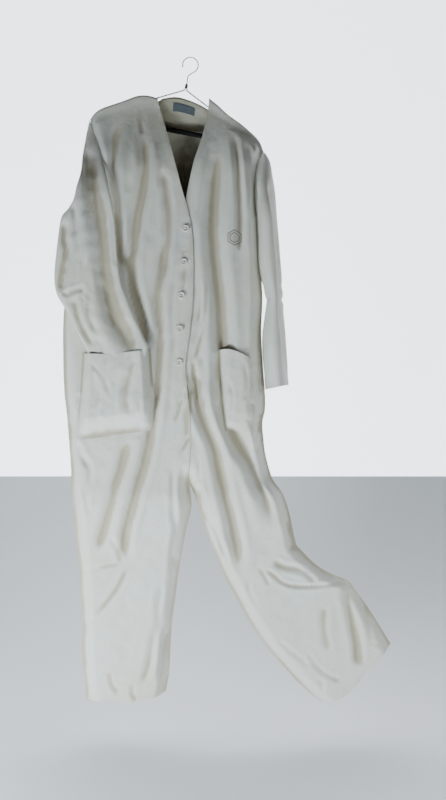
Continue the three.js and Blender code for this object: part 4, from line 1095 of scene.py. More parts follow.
HIP_RIGHT = ("suit", "right_thigh", (-0.16, -0.005, -1.130), (-0.16, -0.005, -1.260))
HIP_LEFT = ("suit", "left_thigh", (0.11, -0.005, -1.130), (0.11, -0.005, -1.235))
KNEE_RIGHT = ("right_thigh", "right_shank", (-0.16, -0.005, -1.300), (-0.16, -0.005, -1.380))
KNEE_LEFT = ("left_thigh", "left_shank", (0.1819, -0.005, -1.3074), (0.2161, -0.005, -1.3852))
ARM_RIGHT = ("suit", "right_arm", (-0.25, -0.01, -0.18), (-0.25, -0.01, -0.33))
ELBOW_RIGHT = ("right_arm", "right_forearm", (-0.2648, -0.059, -0.587), (-0.2375, -0.059, -0.6514))
ARM_LEFT = ("suit", "left_arm", (0.19, -0.005, -0.24), (0.19, -0.005, -0.33))
ELBOW_LEFT = ("left_arm", "left_forearm", (0.215, -0.005, -0.56), (0.215, -0.005, -0.63))

# %% [markdown]
# ## The long panels as objects
# Each piece of cloth crosses one joint only, because a point can follow two bodies at most. The
# fronts and backs are therefore cut above the knee, and the shins are pieces of their own.

# %% Fronts, backs, shins and yoke
FRONT, BACK = (0, -1, 0), (0, 1, 0)
knee_right, knee_left = WRAP_ROWS + KNEE_ROW_RIGHT, WRAP_ROWS + KNEE_ROW_LEFT
back_start_right = len(right_front) - len(right_back)
back_start_left = len(left_front) - len(left_back)
right_front_cloth = cloth("right_front_cloth", right_front, FRONT, rows=(0, knee_right + 1))
left_front_cloth = cloth("left_front_cloth", left_front, FRONT, rows=(0, knee_left + 1))
right_back_cloth = cloth("right_back_cloth", right_back, BACK, rows=(0, knee_right - back_start_right + 1))
left_back_cloth = cloth("left_back_cloth", left_back, BACK, rows=(0, knee_left - back_start_left + 1))
right_shin_front = cloth("right_shin_front", right_front, FRONT, rows=(knee_right, None))
right_shin_back = cloth("right_shin_back", right_back, BACK, rows=(knee_right - back_start_right, None))
left_shin_front = cloth("left_shin_front", left_front, FRONT, rows=(knee_left, None))
left_shin_back = cloth("left_shin_back", left_back, BACK, rows=(knee_left - back_start_left, None))
yoke_cloth = cloth("yoke_cloth", yoke, BACK)
crossing([right_front_cloth, right_back_cloth], *HIP_RIGHT)
crossing([left_front_cloth, left_back_cloth], *HIP_LEFT)
crossing([right_shin_front, right_shin_back], *KNEE_RIGHT)
crossing([left_shin_front, left_shin_back], *KNEE_LEFT)
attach(yoke_cloth, "suit")
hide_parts("right_front_panel", "right_hip_fold", "right_thigh_front")
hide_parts("left_front_panel", "left_hip_fold", "left_thigh_front")
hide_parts("back_panel", "right_thigh_back")
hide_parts("left_thigh_back")
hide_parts("right_knee_fold", "right_shank_front", "right_trouser_hem")
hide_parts("right_shank_back")
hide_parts("left_knee_fold", "left_shank_front", "left_trouser_hem")
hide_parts("left_shank_back")
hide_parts("back_yoke")
sheets = [right_front_cloth, left_front_cloth, right_back_cloth, left_back_cloth, right_shin_front,
          right_shin_back, left_shin_front, left_shin_back, yoke_cloth]
print("long panels:", ", ".join(f"{s.name} {len(s.data.polygons)}" for s in sheets))

# %% Sleeves as objects
upper_right = cloth("right_upper_sleeve_cloth", right_sleeve, around=True, rows=(0, ELBOW_ROW_RIGHT + 1))
lower_right = cloth("right_forearm_cloth", right_sleeve, around=True, rows=(ELBOW_ROW_RIGHT, None))
upper_left = cloth("left_upper_sleeve_cloth", left_sleeve, around=True, rows=(0, ELBOW_ROW_LEFT + 1))
lower_left = cloth("left_forearm_cloth", left_sleeve, around=True, rows=(ELBOW_ROW_LEFT, None))
crossing([upper_right], *ARM_RIGHT)
crossing([lower_right], *ELBOW_RIGHT)
crossing([upper_left], *ARM_LEFT)
crossing([lower_left], *ELBOW_LEFT)
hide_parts("right_sleeve_head", "right_upper_sleeve")
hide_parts("right_elbow_fold", "right_forearm_sleeve", "right_cuff_hem")
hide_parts("left_sleeve_head", "left_upper_sleeve")
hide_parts("left_elbow_fold", "left_forearm_sleeve", "left_cuff_hem")
sheets += [upper_right, lower_right, upper_left, lower_left]

# %% [markdown]
# ## Pockets, facings, label and badge
# A patch pocket is a piece of cloth sewn on round three sides. Its edge lies on the front, so each
# edge point is dropped onto the finished cloth with a ray, and the mouth stands off as a pouch.

# %% Dropping a point onto the front
front_trees = [BVHTree.FromObject(piece, bpy.context.evaluated_depsgraph_get())
               for piece in (right_front_cloth, left_front_cloth)]


def front_y(x, z):
    """y of the foremost cloth at a point, in millimetres."""
    found = []
    for tree_of in front_trees:
        hit = tree_of.ray_cast(Vector((x * MM, -0.2, z * MM)), Vector((0, 1, 0)))[0]
        if hit is not None:
            found.append(hit.y / MM)
    return min(found) if found else -FRONT_DEPTH


def patch(top, left, right, bottom, rows, columns, belly, belly_top, folds, lift=1.3):
    """A sewn on patch between four edges, belling out by belly where it isn't sewn."""
    u, v = np.linspace(0, 1, columns), np.linspace(0, 1, rows)
    t, b = read(smooth_line(top), u), read(smooth_line(bottom), u)
    le, r = read(smooth_line(left), v), read(smooth_line(right), v)
    uu, vv = u[None, :, None], v[:, None, None]
    flat = ((1 - vv) * t[None] + vv * b[None] + (1 - uu) * le[:, None] + uu * r[:, None]
            - (1 - uu) * (1 - vv) * t[0] - uu * (1 - vv) * t[-1] - (1 - uu) * vv * b[0] - uu * vv * b[-1])
    x, z = flat[:, :, 0], flat[:, :, 1]
    width, height = np.ptp(x[0]), np.ptp(z[:, 0])
    base = np.array([[front_y(x[i, j], z[i, j]) for j in range(columns)] for i in range(rows)])
    across = np.minimum(u, 1 - u)[None, :] * width
    stand = smooth(across / 26) * smooth((1 - v)[:, None] * height / 60)
    shape = mix(1.0, belly_top, smooth((0.45 - v) / 0.45))[:, None]
    dent = np.clip(folded(folds, x, z) + 0.8 * ripple(x, z, 60, 41) + 0.4 * ripple(x, z, 28, 43), -3, 14)
    level = -FRONT_DEPTH - belly * stand * shape
    y = mix(base - lift, np.minimum(base - lift, level + dent),
            smooth(across / 12) * smooth((1 - v)[:, None] * 9))
    return rows_of(x, z, y)


RIGHT_POCKET_EDGES = (
    [(-279, -781), (-244, -783), (-205, -783), (-150, -777), (-103, -771)],
    [(-279, -781), (-283, -845), (-288, -915), (-299, -1006)],
    [(-103, -771), (-96, -850), (-92, -915), (-98, -980)],
    [(-299, -1006), (-250, -1001), (-190, -992), (-140, -986), (-98, -980)],
)
LEFT_POCKET_EDGES = (
    [(75, -771), (107, -771), (143, -785), (161, -796)], [(75, -771), (79, -840), (84, -910), (92, -982)],
    [(161, -796), (164, -850), (168, -915), (173, -984)], [(92, -982), (130, -984), (173, -984)],
)
right_pocket_grid = patch(
    *RIGHT_POCKET_EDGES, 60, 52, 30, 1.05,
    [(10, 4, [(-136, -792), (-152, -830), (-164, -890), (-156, -945)]),
     (7, 1.5, [(-250, -830), (-238, -890), (-244, -960)]),
     (4, 1.5, [(-112, -860), (-128, -900), (-120, -960)]),
      (5, 1.2, [(-262, -800), (-225, -840), (-200, -900)])])
left_pocket_grid = patch(
    *LEFT_POCKET_EDGES, 54, 30, 9, 0.9,
    [(6, 2.5, [(140, -800), (148, -850), (142, -905)]), (5, 2, [(104, -850), (110, -900), (104, -955)])])
right_pocket_cloth = cloth("right_pocket_cloth", right_pocket_grid, FRONT)
left_pocket_cloth = cloth("left_pocket_cloth", left_pocket_grid, FRONT)


# %% Strips along an edge: facings, pocket hems, and the neck label
def inset(grid, near, far, steps, rows, outward, drop, from_start=False):
    """A strip of a grid between two distances from its last or first column, moved off its face."""
    normal = normals_of(grid, outward)
    strip = []
    for i in range(*rows):
        row, away = (grid[i], normal[i]) if from_start else (grid[i][::-1], normal[i][::-1])
        at = np.r_[0, np.cumsum(np.linalg.norm(np.diff(row, axis=0), axis=1))]
        want = np.linspace(near, far, steps)
        place = np.column_stack([np.interp(want, at, row[:, k]) for k in range(3)])
        lift = np.column_stack([np.interp(want, at, away[:, k]) for k in range(3)])
        strip.append(place + lift * drop)
    return np.array(strip)


FACING_WIDE = 44.0
facing_end = WRAP_ROWS + int(np.argmax(right_z[:, -1] < -880))
right_facing_grid = inset(right_front, 0.8, FACING_WIDE, 9, (WRAP_ROWS + 1, facing_end), FRONT, -1.9)
left_facing_grid = inset(left_front, 0.8, FACING_WIDE, 9, (WRAP_ROWS + 1, facing_end), FRONT, -1.9)
right_facing_cloth = cloth("right_facing_cloth", right_facing_grid, FRONT, materials=(cotton_inside, None))
left_facing_cloth = cloth("left_facing_cloth", left_facing_grid, FRONT, materials=(cotton_inside, None))

yoke_normal = normals_of(yoke, BACK)
neck_low = int(np.argmin(np.abs(yoke[0, :, 0] + 82)))
neck_high = int(np.argmin(np.abs(yoke[0, :, 0] - 46)))
NECK_ROWS, LABEL_ROWS = slice(1, 9), slice(3, 8)  # rows of the yoke that each of them covers
LABEL_COLUMNS = 12
neck_grid = (yoke - yoke_normal * 2.0)[NECK_ROWS, neck_low : neck_high + 1]
neck_facing_cloth = cloth("neck_facing_cloth", neck_grid, BACK, materials=(cotton_inside, None))
middle = (neck_low + neck_high) // 2
label_grid = (yoke - yoke_normal * 3.4)[LABEL_ROWS, middle - 5 : middle - 5 + LABEL_COLUMNS]
neck_label_cloth = cloth("neck_label_cloth", label_grid, BACK, thickness=0.6,
                         materials=(label_cloth, label_cloth))
right_hem_grid = right_pocket_grid[0:5, 5:-5] + np.array([0, 1.6, 0])
left_hem_grid = left_pocket_grid[0:5, 4:-4] + np.array([0, 1.6, 0])
right_pocket_fold = cloth("right_pocket_hem_cloth", right_hem_grid, FRONT, materials=(cotton_inside, None))
left_pocket_fold = cloth("left_pocket_hem_cloth", left_hem_grid, FRONT, materials=(cotton_inside, None))
print("strips:", right_facing_grid.shape, neck_grid.shape, label_grid.shape)

# %% The badge: a plain hexagon of printed cloth, like one cell of a comb, with nothing on it
angle = np.radians(np.arange(0, 361, 60) + 30)
BADGE_AT, BADGE_HALF = (116.0, -480.0), 21.0
corner = np.column_stack([np.cos(angle), np.sin(angle)]) * BADGE_HALF
outline = np.vstack([np.linspace(corner[i], corner[i + 1], 6)[:-1] for i in range(6)] + [corner[:1]])
rings = []
for share in (1, 0.9, 0.8, 0.68, 0.58, 0.48, 0.3, 0.15, 0.02):
    ring = outline * share + np.array(BADGE_AT)
    rings.append([(x, front_y(x, z) - 0.7, z) for x, z in ring[:-1]])
badge_cloth = cloth("chest_badge_print", np.array(rings), FRONT, around=True, thickness=0.6,
                    materials=(badge_print, cotton))
marked = badge_cloth.data.polygons
per_ring = 30
for number in range(8 * per_ring):
    if number // per_ring not in (0, 3):
        marked[number].material_index = 1
riding = [
    (right_pocket_cloth, "right_pocket"), (left_pocket_cloth, "left_pocket"),
    (right_pocket_fold, "right_pocket_hem"), (left_pocket_fold, "left_pocket_hem"),
    (right_facing_cloth, "right_front_facing"), (left_facing_cloth, "left_front_facing"),
    (neck_facing_cloth, "back_neck_facing"), (neck_label_cloth, "neck_label"), (badge_cloth, "chest_badge"),
]
for piece, stands_for in riding:
    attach(piece, "suit")
    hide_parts(stands_for)

# %% [markdown]
# ## Buttons
# A shirt button is turned from plastic: a rim, a dished middle, four holes. The holes here are real
# holes, because the thread goes down through them, and each button turns by itself on its shank.

# %% The button: a turned disc, drilled with four real holes
def mesh_object(name, points, faces, finish, soft=True):
    """An object from points in millimetres."""
    mesh = bpy.data.meshes.new(name)
    mesh.from_pydata((np.asarray(points, float) * MM).tolist(), [], faces)
    mesh.materials.append(finish)
    mesh.polygons.foreach_set("use_smooth", np.full(len(faces), soft))
    made = bpy.data.objects.new(name, mesh)
    scene.collection.objects.link(made)
    return made


def turned(profile, sides, closed=False):
    """Points and faces of a profile of (radius, height) turned round +Z, with its ends capped."""
    turn = np.linspace(0, 2 * math.pi, sides, endpoint=False)
    points = [(math.cos(t) * r, math.sin(t) * r, h) for r, h in profile for t in turn]
    count = len(profile)
    pairs = [(i, (i + 1) % count) for i in range(count if closed else count - 1)]
    faces = [(a * sides + k, a * sides + (k + 1) % sides, b * sides + (k + 1) % sides, b * sides + k)
             for a, b in pairs for k in range(sides)]
    if not closed:
        faces.append(tuple(range(sides))[::-1])
        faces.append(tuple((count - 1) * sides + k for k in range(sides)))
    return points, faces


BUTTON_PROFILE = [(7.6, 0.0), (8.5, 0.2), (8.95, 0.7), (9.0, 1.4), (8.9, 2.1), (8.5, 2.7), (7.9, 3.0),
                  (7.2, 2.96),
                  (6.6, 2.65), (6.1, 2.25), (5.5, 2.1)]
HOLE_RADIUS, HOLE_AT = 1.1, 2.6


def join_meshes(name, objects):
    """One object made of several, which are used up."""
    for other in bpy.context.selected_objects:
        other.select_set(False)
    for piece in objects:
        piece.select_set(True)
    bpy.context.view_layer.objects.active = objects[0]
    bpy.ops.object.join()
    objects[0].name = name
    objects[0].data.name = name
    return objects[0]


def drilled_button():
    blank = mesh_object("button_blank", *turned(BUTTON_PROFILE, 48), button_plastic)
    drills = []
    for sx, sz in ((-1, -1), (-1, 1), (1, -1), (1, 1)):
        points, faces = turned([(HOLE_RADIUS, -2.0), (HOLE_RADIUS, 5.0)], 14)
        moved = [(x + sx * HOLE_AT, y + sz * HOLE_AT, z) for x, y, z in points]
        drills.append(mesh_object("button_drill", moved, faces, button_plastic))
    drill = join_meshes("button_drill", drills)
    cut = blank.modifiers.new("holes", "BOOLEAN")
    cut.operation = "DIFFERENCE"
    cut.solver = "EXACT"
    cut.object = drill
    mesh = bpy.data.meshes.new_from_object(blank.evaluated_get(bpy.context.evaluated_depsgraph_get()))
    bpy.data.objects.remove(blank)
    bpy.data.objects.remove(drill)
    return mesh


# %% Five buttons, each with its crossed thread
def rod(name, line, radius, sides, finish, closed=False):
    """A round wire along a line of points, with rounded ends unless it is closed."""
    line = np.array(line, float)
    tangent = np.roll(line, -1, axis=0) - np.roll(line, 1, axis=0) if closed else np.gradient(line, axis=0)
    tangent /= np.linalg.norm(tangent, axis=1, keepdims=True)
    up = np.array([0, 1, 0]) if abs(tangent[:, 1]).max() < 0.9 else np.array([1, 0, 0])
    side = np.cross(tangent, up)
    side /= np.linalg.norm(side, axis=1, keepdims=True)
    other = np.cross(tangent, side)
    rings, centres = [], []
    if not closed:
        for t in (-0.99, -0.8, -0.45):
            centres.append((line[0] + tangent[0] * t * radius, 0, math.sqrt(1 - t * t) * radius))
    centres += [(line[i], i, radius) for i in range(len(line))]
    if not closed:
        for t in (0.45, 0.8, 0.99):
            centres.append((line[-1] + tangent[-1] * t * radius, len(line) - 1,
                            math.sqrt(1 - t * t) * radius))
    turn = np.linspace(0, 2 * math.pi, sides, endpoint=False)[:, None]
    for centre, i, r in centres:
        rings.append(centre + (np.cos(turn) * side[i] + np.sin(turn) * other[i]) * r)
    count = len(rings)
    pairs = [(i, (i + 1) % count) for i in range(count if closed else count - 1)]
    faces = [(a * sides + k, b * sides + k, b * sides + (k + 1) % sides, a * sides + (k + 1) % sides)
             for a, b in pairs for k in range(sides)]
    if not closed:
        faces.append(tuple(range(sides)))
        faces.append(tuple((count - 1) * sides + k for k in range(sides))[::-1])
    points = np.vstack(rings)
    a, b, c = (points[faces[0][k]] for k in range(3))
    middle = rings[0].mean(axis=0)
    if np.cross(b - a, c - a) @ (a - middle) < 0:
        faces = [f[::-1] for f in faces]
    return mesh_object(name, points, faces, finish)


button_shape = drilled_button()
button_bodies = ("top_button", "second_button", "third_button", "fourth_button", "fifth_button")
for number, body in enumerate(button_bodies, 1):
    low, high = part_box(f"button_{number}")
    x, z = (low.x + high.x) / 2, (low.z + high.z) / 2
    shape = button_shape.copy()
    for vertex in shape.vertices:
        px, py, pz = vertex.co
        vertex.co = (x + px, high.y - pz, z + py)
    shape.name = f"{body}_disc"
    disc = bpy.data.objects.new(shape.name, shape)
    scene.collection.objects.link(disc)
    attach(disc, body)
    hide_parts(f"button_{number}")
    threads = []
    for k, (sx, sz) in enumerate(((1, 1), (1, -1))):
        for shift in (-0.45, 0.0, 0.45):
            ends = np.array([[-sx, -sz], [sx, sz]]) * HOLE_AT + np.array([sz, -sx]) * shift * 0.7
            path = [(-1.0, 1.6), (-0.93, 0.5), (-0.8, -0.35 - 0.25 * k), (-0.4, -0.6 - 0.3 * k),
                    (0.0, -0.7 - 0.3 * k),
                    (0.4, -0.6 - 0.3 * k), (0.8, -0.35 - 0.25 * k), (0.93, 0.5), (1.0, 1.6)]
            line = []
            for along, rise in path:
                spot = mix(ends[0], ends[1], (along + 1) / 2)
                line.append((x / MM + spot[0], high.y / MM - 2.1 + rise, z / MM + spot[1]))
            threads.append(rod(f"{body}_thread", line, 0.3, 8, thread))
    sewn = join_meshes(f"{body}_thread", threads)
    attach(sewn, body)
print("five buttons of", len(button_shape.polygons), "faces")

# %% [markdown]
# ## The hanger
# A trouser hanger: one bent wire for the arms and the bar, a foam grip on the bar, a short collar
# and a hook that turns in it. Its wire passes inside the shoulders, where the cloth rests on it.

# %% Hanger dimensions and its own frame
HANGER_TILT = math.radians(10.8)
HOOK_INSIDE, HOOK_WIRE, ROD = 19.0, 3.2, 4.0
up_axis = np.array([math.sin(HANGER_TILT), 0, math.cos(HANGER_TILT)])
along_bar = np.array([math.cos(HANGER_TILT), 0, -math.sin(HANGER_TILT)])
hook_centre = np.array([0, 0, -HOOK_INSIDE])
arm_top = hook_centre - up_axis * 64.5
HALF_SPAN = 222.0
ARM_RISE = HALF_SPAN * math.tan(math.radians(27))
bar_middle = arm_top - up_axis * ARM_RISE


def on_hanger(along, up):
    return bar_middle + along_bar * along + up_axis * up


def bent(points, count):
    return smooth_line([tuple(p) for p in points], count)


# %% Hook, collar, arms and grip
middle_radius = HOOK_INSIDE + HOOK_WIRE / 2
hook_line = []
for degrees in np.linspace(115, -140, 40):
    turn = math.radians(degrees) - HANGER_TILT
    hook_line.append(hook_centre + np.array([-math.sin(turn), 0, math.cos(turn)]) * middle_radius)
stem_top = hook_centre - up_axis * (middle_radius + 9)
stem_foot = arm_top + up_axis * 3
stem = bent([*hook_line[::4], hook_line[-1], stem_top, (stem_top + stem_foot) / 2, stem_foot], 120)
hook = rod("hook_wire", stem, HOOK_WIRE / 2 - 0.05, 20, hanger_metal)
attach(hook, "hook")
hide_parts("hanger_hook")


def side_of_arm(sign):
    """From under the collar down one arm to the bar."""
    shoulder, end = on_hanger(sign * 14, ARM_RISE - 9), on_hanger(sign * HALF_SPAN, 0)
    along = (shoulder - end) / np.linalg.norm(shoulder - end)
    before, after = end + along * 9, on_hanger(sign * (HALF_SPAN - 9), 0)
    corner = mix(mix(before, after, 0.5), end, 0.45)
    run = [mix(shoulder, before, t) for t in (0.25, 0.5, 0.75)]
    return [on_hanger(sign * (ROD / 2 + 0.6), ARM_RISE - ROD / 2 - 0.6), shoulder, *run, before, corner,
            after]


bar = [on_hanger(s * (HALF_SPAN - 12), 0) for s in np.linspace(-1, 1, 9)]
arms = rod("hanger_wire", bent([*side_of_arm(-1), *bar, *side_of_arm(1)[::-1]], 300), ROD / 2 - 0.05, 16,
           hanger_metal)


def placed(profile, sides, origin, axis, across, name, finish):
    """A turned piece stood on a point with its axis along a direction."""
    points, faces = turned(profile, sides, closed=True)
    third = np.cross(axis, across)
    moved = [origin + across * x + third * y + axis * h for x, y, h in points]
    made = mesh_object(name, moved, faces, finish)
    return made


collar = placed([(1.7, 2.5), (0.05, 2.5), (0.05, 0), (3.9, 0), (4.4, 0.5), (4.45, 4.0), (4.2, 4.6),
                 (4.45, 5.2),
                 (4.45, 9.5), (4.0, 11.8), (3.2, 13.8), (2.4, 14.0), (1.8, 13.6)],
                32, arm_top, up_axis, along_bar, "hanger_ferrule", hanger_metal)
half_grip = HALF_SPAN - 20
grip_profile = [(2.4, -half_grip + 0.4), (2.9, -half_grip), (5.6, -half_grip), (6.3, -half_grip + 0.8)]
grip_profile += [(6.42 - 0.12 * (k % 2), -half_grip + 2 + k * (2 * half_grip - 4) / 60) for k in range(61)]
grip_profile += [(6.3, half_grip - 0.8), (5.6, half_grip), (2.9, half_grip), (2.4, half_grip - 0.4)]
grip = placed(grip_profile, 40, bar_middle, along_bar, up_axis, "bar_grip", grip_foam)
for piece, stands_for, finish in ((arms, "hanger_arms", "hanger_metal"),
                                  (collar, "hanger_collar", "hanger_metal"),
                                  (grip, "hanger_bar_grip", "grip_foam")):
    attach(piece, "suit")
    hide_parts(stands_for)
print("hanger pieces:", hook.name, arms.name, collar.name, grip.name)

# %% [markdown]
# ## Stitches
# A seam is read by its row of stitches. One node tree lays a short thread at even steps along any
# run of points, so all the seams of the suit share it. Each run lies on the finished cloth.

# %% The stitch tree
def stitch_tree():
    tree = bpy.data.node_groups.new("stitches along a run", "GeometryNodeTree")
    tree.interface.new_socket(name="Run", in_out="INPUT", socket_type="NodeSocketGeometry")
    for label, value in (("Pitch", 0.0037), ("Length", 0.0028), ("Thickness", 0.0007)):
        tree.interface.new_socket(name=label, in_out="INPUT", socket_type=FLOAT).default_value = value
    tree.interface.new_socket(name="Seed", in_out="INPUT", socket_type="NodeSocketInt").default_value = 7
    tree.interface.new_socket(name="Thread", in_out="INPUT", socket_type="NodeSocketMaterial")
    tree.interface.new_socket(name="Stitches", in_out="OUTPUT", socket_type="NodeSocketGeometry")
    entry, end = tree.nodes.new("NodeGroupInput"), tree.nodes.new("NodeGroupOutput")
    link = tree.links.new
    curve = node(tree, "GeometryNodeMeshToCurve")
    steps = node(tree, "GeometryNodeResampleCurve", mode="LENGTH")
    bead = node(tree, "GeometryNodeMeshUVSphere", inputs={"Segments": 6, "Rings": 5, "Radius": 0.5})
    along = node(tree, "GeometryNodeInputTangent")
    turn = node(tree, "FunctionNodeAlignRotationToVector", axis="Z")
    uneven = node(tree, "FunctionNodeRandomValue", data_type="FLOAT")
    uneven.inputs[2].default_value, uneven.inputs[3].default_value = 0.86, 1.08
    size = node(tree, "ShaderNodeCombineXYZ")
    varied = node(tree, "ShaderNodeVectorMath", operation="SCALE")
    laid = node(tree, "GeometryNodeInstanceOnPoints")
    real = node(tree, "GeometryNodeRealizeInstances")
    soft = node(tree, "GeometryNodeSetShadeSmooth")
    dyed = node(tree, "GeometryNodeSetMaterial")
    link(entry.outputs["Run"], curve.inputs[0])
    link(curve.outputs[0], steps.inputs["Curve"])
    link(entry.outputs["Pitch"], steps.inputs["Length"])
    link(along.outputs[0], turn.inputs["Vector"])
    link(entry.outputs["Seed"], uneven.inputs["Seed"])
    link(entry.outputs["Thickness"], size.inputs[0])
    link(entry.outputs["Thickness"], size.inputs[1])
    link(entry.outputs["Length"], size.inputs[2])
    link(size.outputs[0], varied.inputs[0])
    link(uneven.outputs[1], varied.inputs["Scale"])
    link(steps.outputs[0], laid.inputs["Points"])
    link(bead.outputs["Mesh"], laid.inputs["Instance"])
    link(turn.outputs[0], laid.inputs["Rotation"])
    link(varied.outputs[0], laid.inputs["Scale"])
    link(laid.outputs[0], real.inputs[0])
    link(real.outputs[0], soft.inputs[0])
    link(soft.outputs[0], dyed.inputs["Geometry"])
    link(entry.outputs["Thread"], dyed.inputs["Material"])
    link(dyed.outputs[0], end.inputs[0])
    return tree


sewing = stitch_tree()
sewing_inputs = {item.name: item.identifier for item in sewing.interface.items_tree if item.in_out == "INPUT"}


def sewn_runs(name, runs, pitch=0.0037):
    """One object of stitches along several runs of points in millimetres."""
    points, edges = [], []
    for run in runs:
        edges += [(len(points) + i, len(points) + i + 1) for i in range(len(run) - 1)]
        points += (np.asarray(run) * MM).tolist()
    mesh = bpy.data.meshes.new(name)
    mesh.from_pydata(points, edges, [])
    carrier = bpy.data.objects.new(name, mesh)
    scene.collection.objects.link(carrier)
    laying = carrier.modifiers.new("stitches", "NODES")
    laying.node_group = sewing
    laying[sewing_inputs["Pitch"]] = pitch
    laying[sewing_inputs["Thread"]] = thread
    made = bpy.data.meshes.new_from_object(carrier.evaluated_get(bpy.context.evaluated_depsgraph_get()))
    carrier.modifiers.remove(laying)
    carrier.data = made
    made.name = name
    bpy.data.meshes.remove(mesh)
    return carrier


# %% Runs on the finished cloth
def beside_edge(grid, outward, distance, rows, from_start=False, lift=0.15):
    """A run down a panel at a distance from its last column, or from its first."""
    return inset(grid, distance, distance, 1, rows, outward, lift, from_start)[:, 0]


def above_end(grid, outward, back, lift=0.15, around=False):
    """A run across a panel, so many rows above its last row."""
    normal = normals_of(grid, outward, around)
    run = grid[-1 - back] + normal[-1 - back] * lift
    return np.vstack([run, run[:1]]) if around else run


hip_row_right = WRAP_ROWS + int(np.argmax(right_z[:, -1] < -1125))
hip_row_left = WRAP_ROWS + int(np.argmax(left_z[:, -1] < -1125))
fly_row = WRAP_ROWS + int(np.argmax(right_z[:, -1] < -862))
cross_row = WRAP_ROWS + int(np.argmax(left_z[:, -1] < -420))
body_runs = [beside_edge(right_front, FRONT, d, (WRAP_ROWS, fly_row)) for d in (5, 38, 42)]
body_runs += [beside_edge(left_front, FRONT, d, (WRAP_ROWS, cross_row)) for d in (5,)]
body_runs += [beside_edge(left_front, FRONT, d, (WRAP_ROWS, cross_row + 14)) for d in (38, 42)]
body_runs += [beside_edge(right_front, FRONT, 5, (WRAP_ROWS + 70, hip_row_right), True),
              beside_edge(left_front, FRONT, 5, (WRAP_ROWS + 55, hip_row_left), True),
              beside_edge(right_back, BACK, 5, (4, hip_row_right - back_start_right), True),
              beside_edge(left_back, BACK, 5, (4, hip_row_left - back_start_left), True),
              beside_edge(right_back, BACK, 5, (2, hip_row_right - back_start_right)),
              above_end(yoke, BACK, 1)[2:-2], above_end(yoke[::-1], BACK, 1)[2:-2]]
for grid, gap in ((right_pocket_grid, 3), (left_pocket_grid, 3)):
    for d in (gap, gap + 6):
        body_runs.append(beside_edge(grid, FRONT, d, (1, len(grid) - 1)))
        body_runs.append(beside_edge(grid, FRONT, d, (1, len(grid) - 1), True))
    for back in (1, 3):
        body_runs.append(above_end(grid, FRONT, back)[1:-1])
    body_runs.append(above_end(grid[::-1], FRONT, 4)[2:-2])
body_stitches = sewn_runs("body_stitches", body_runs)
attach(body_stitches, "suit")

# %% Stitches on the legs and the sleeves
HEM_ROWS = 3
leg_runs = {
    "right_leg_stitches": ([
        beside_edge(right_front, FRONT, 5, (hip_row_right, knee_right), True),
        beside_edge(right_front, FRONT, 5, (hip_row_right + 3, knee_right)),
        beside_edge(right_back, BACK, 5,
                    (hip_row_right - back_start_right, knee_right - back_start_right), True)],
        HIP_RIGHT),
    "left_leg_stitches": ([
        beside_edge(left_front, FRONT, 5, (hip_row_left, knee_left), True),
        beside_edge(left_front, FRONT, 5, (hip_row_left + 3, knee_left)),
        beside_edge(left_back, BACK, 5, (hip_row_left - back_start_left, knee_left - back_start_left), True)],
        HIP_LEFT),
    "right_shin_stitches": ([
        beside_edge(right_front, FRONT, 5, (knee_right, len(right_front)), True),
        beside_edge(right_front, FRONT, 5, (knee_right, len(right_front))),
        above_end(right_front, FRONT, HEM_ROWS)[1:-1], above_end(right_back, BACK, HEM_ROWS)[1:-1]],
        KNEE_RIGHT),
    "left_shin_stitches": ([
        beside_edge(left_front, FRONT, 5, (knee_left, len(left_front)), True),
        beside_edge(left_front, FRONT, 5, (knee_left, len(left_front))),
        above_end(left_front, FRONT, HEM_ROWS)[1:-1], above_end(left_back, BACK, HEM_ROWS)[1:-1]], KNEE_LEFT),
    "right_arm_stitches": ([above_end(right_sleeve[:6], None, 2, around=True)], ARM_RIGHT),
    "left_arm_stitches": ([above_end(left_sleeve[:6], None, 2, around=True)], ARM_LEFT),
    "left_cuff_stitches": ([above_end(left_sleeve, None, d, around=True) for d in (1, 4)], ELBOW_LEFT),
}
for name, (runs, bend_at) in leg_runs.items():
    crossing([sewn_runs(name, runs)], *bend_at)
print("stitched:", len(body_runs) + sum(len(runs) for runs, _ in leg_runs.values()), "runs")

# %% [markdown]
# ## What the cloth was cut from
# The size of every sheet's flat pattern piece is worked out and printed. The allowance for folds is a
# chosen value: a cutter leaves some such width, and how much this suit had can't be seen.

# %% Sheets and their flat sizes
FOLD_ALLOWANCE = 1.06  # extra width cut for the folds and for the turn into the side seams
WRAP_LENGTH = math.pi * SEAT  # the cloth that turns over the hanger's arm


def cut_size(plain, around=False, wrap=0.0, allowance=FOLD_ALLOWANCE):
    """Width, length and area in metres of a pattern piece laid flat."""
    closed = np.concatenate([plain, plain[:, :1]], axis=1) if around else plain
    across = np.linalg.norm(np.diff(closed, axis=1), axis=2).sum(axis=1) * allowance
    down = np.linalg.norm(np.diff(plain, axis=0), axis=2).sum(axis=0).mean() + wrap
    width, length = round(float(across.max()) * MM, 3), round(float(down) * MM, 3)
    return (width, length), round(float(across.mean()) * MM * float(down) * MM, 4)


def flat_edges(top, left, right, bottom):
    """A patch pocket's width and length, each the mean of its two opposite edges."""
    top, left, right, bottom = (run_of(smooth_line(edge)) for edge in (top, left, right, bottom))
    return (top + bottom) / 2, (left + right) / 2


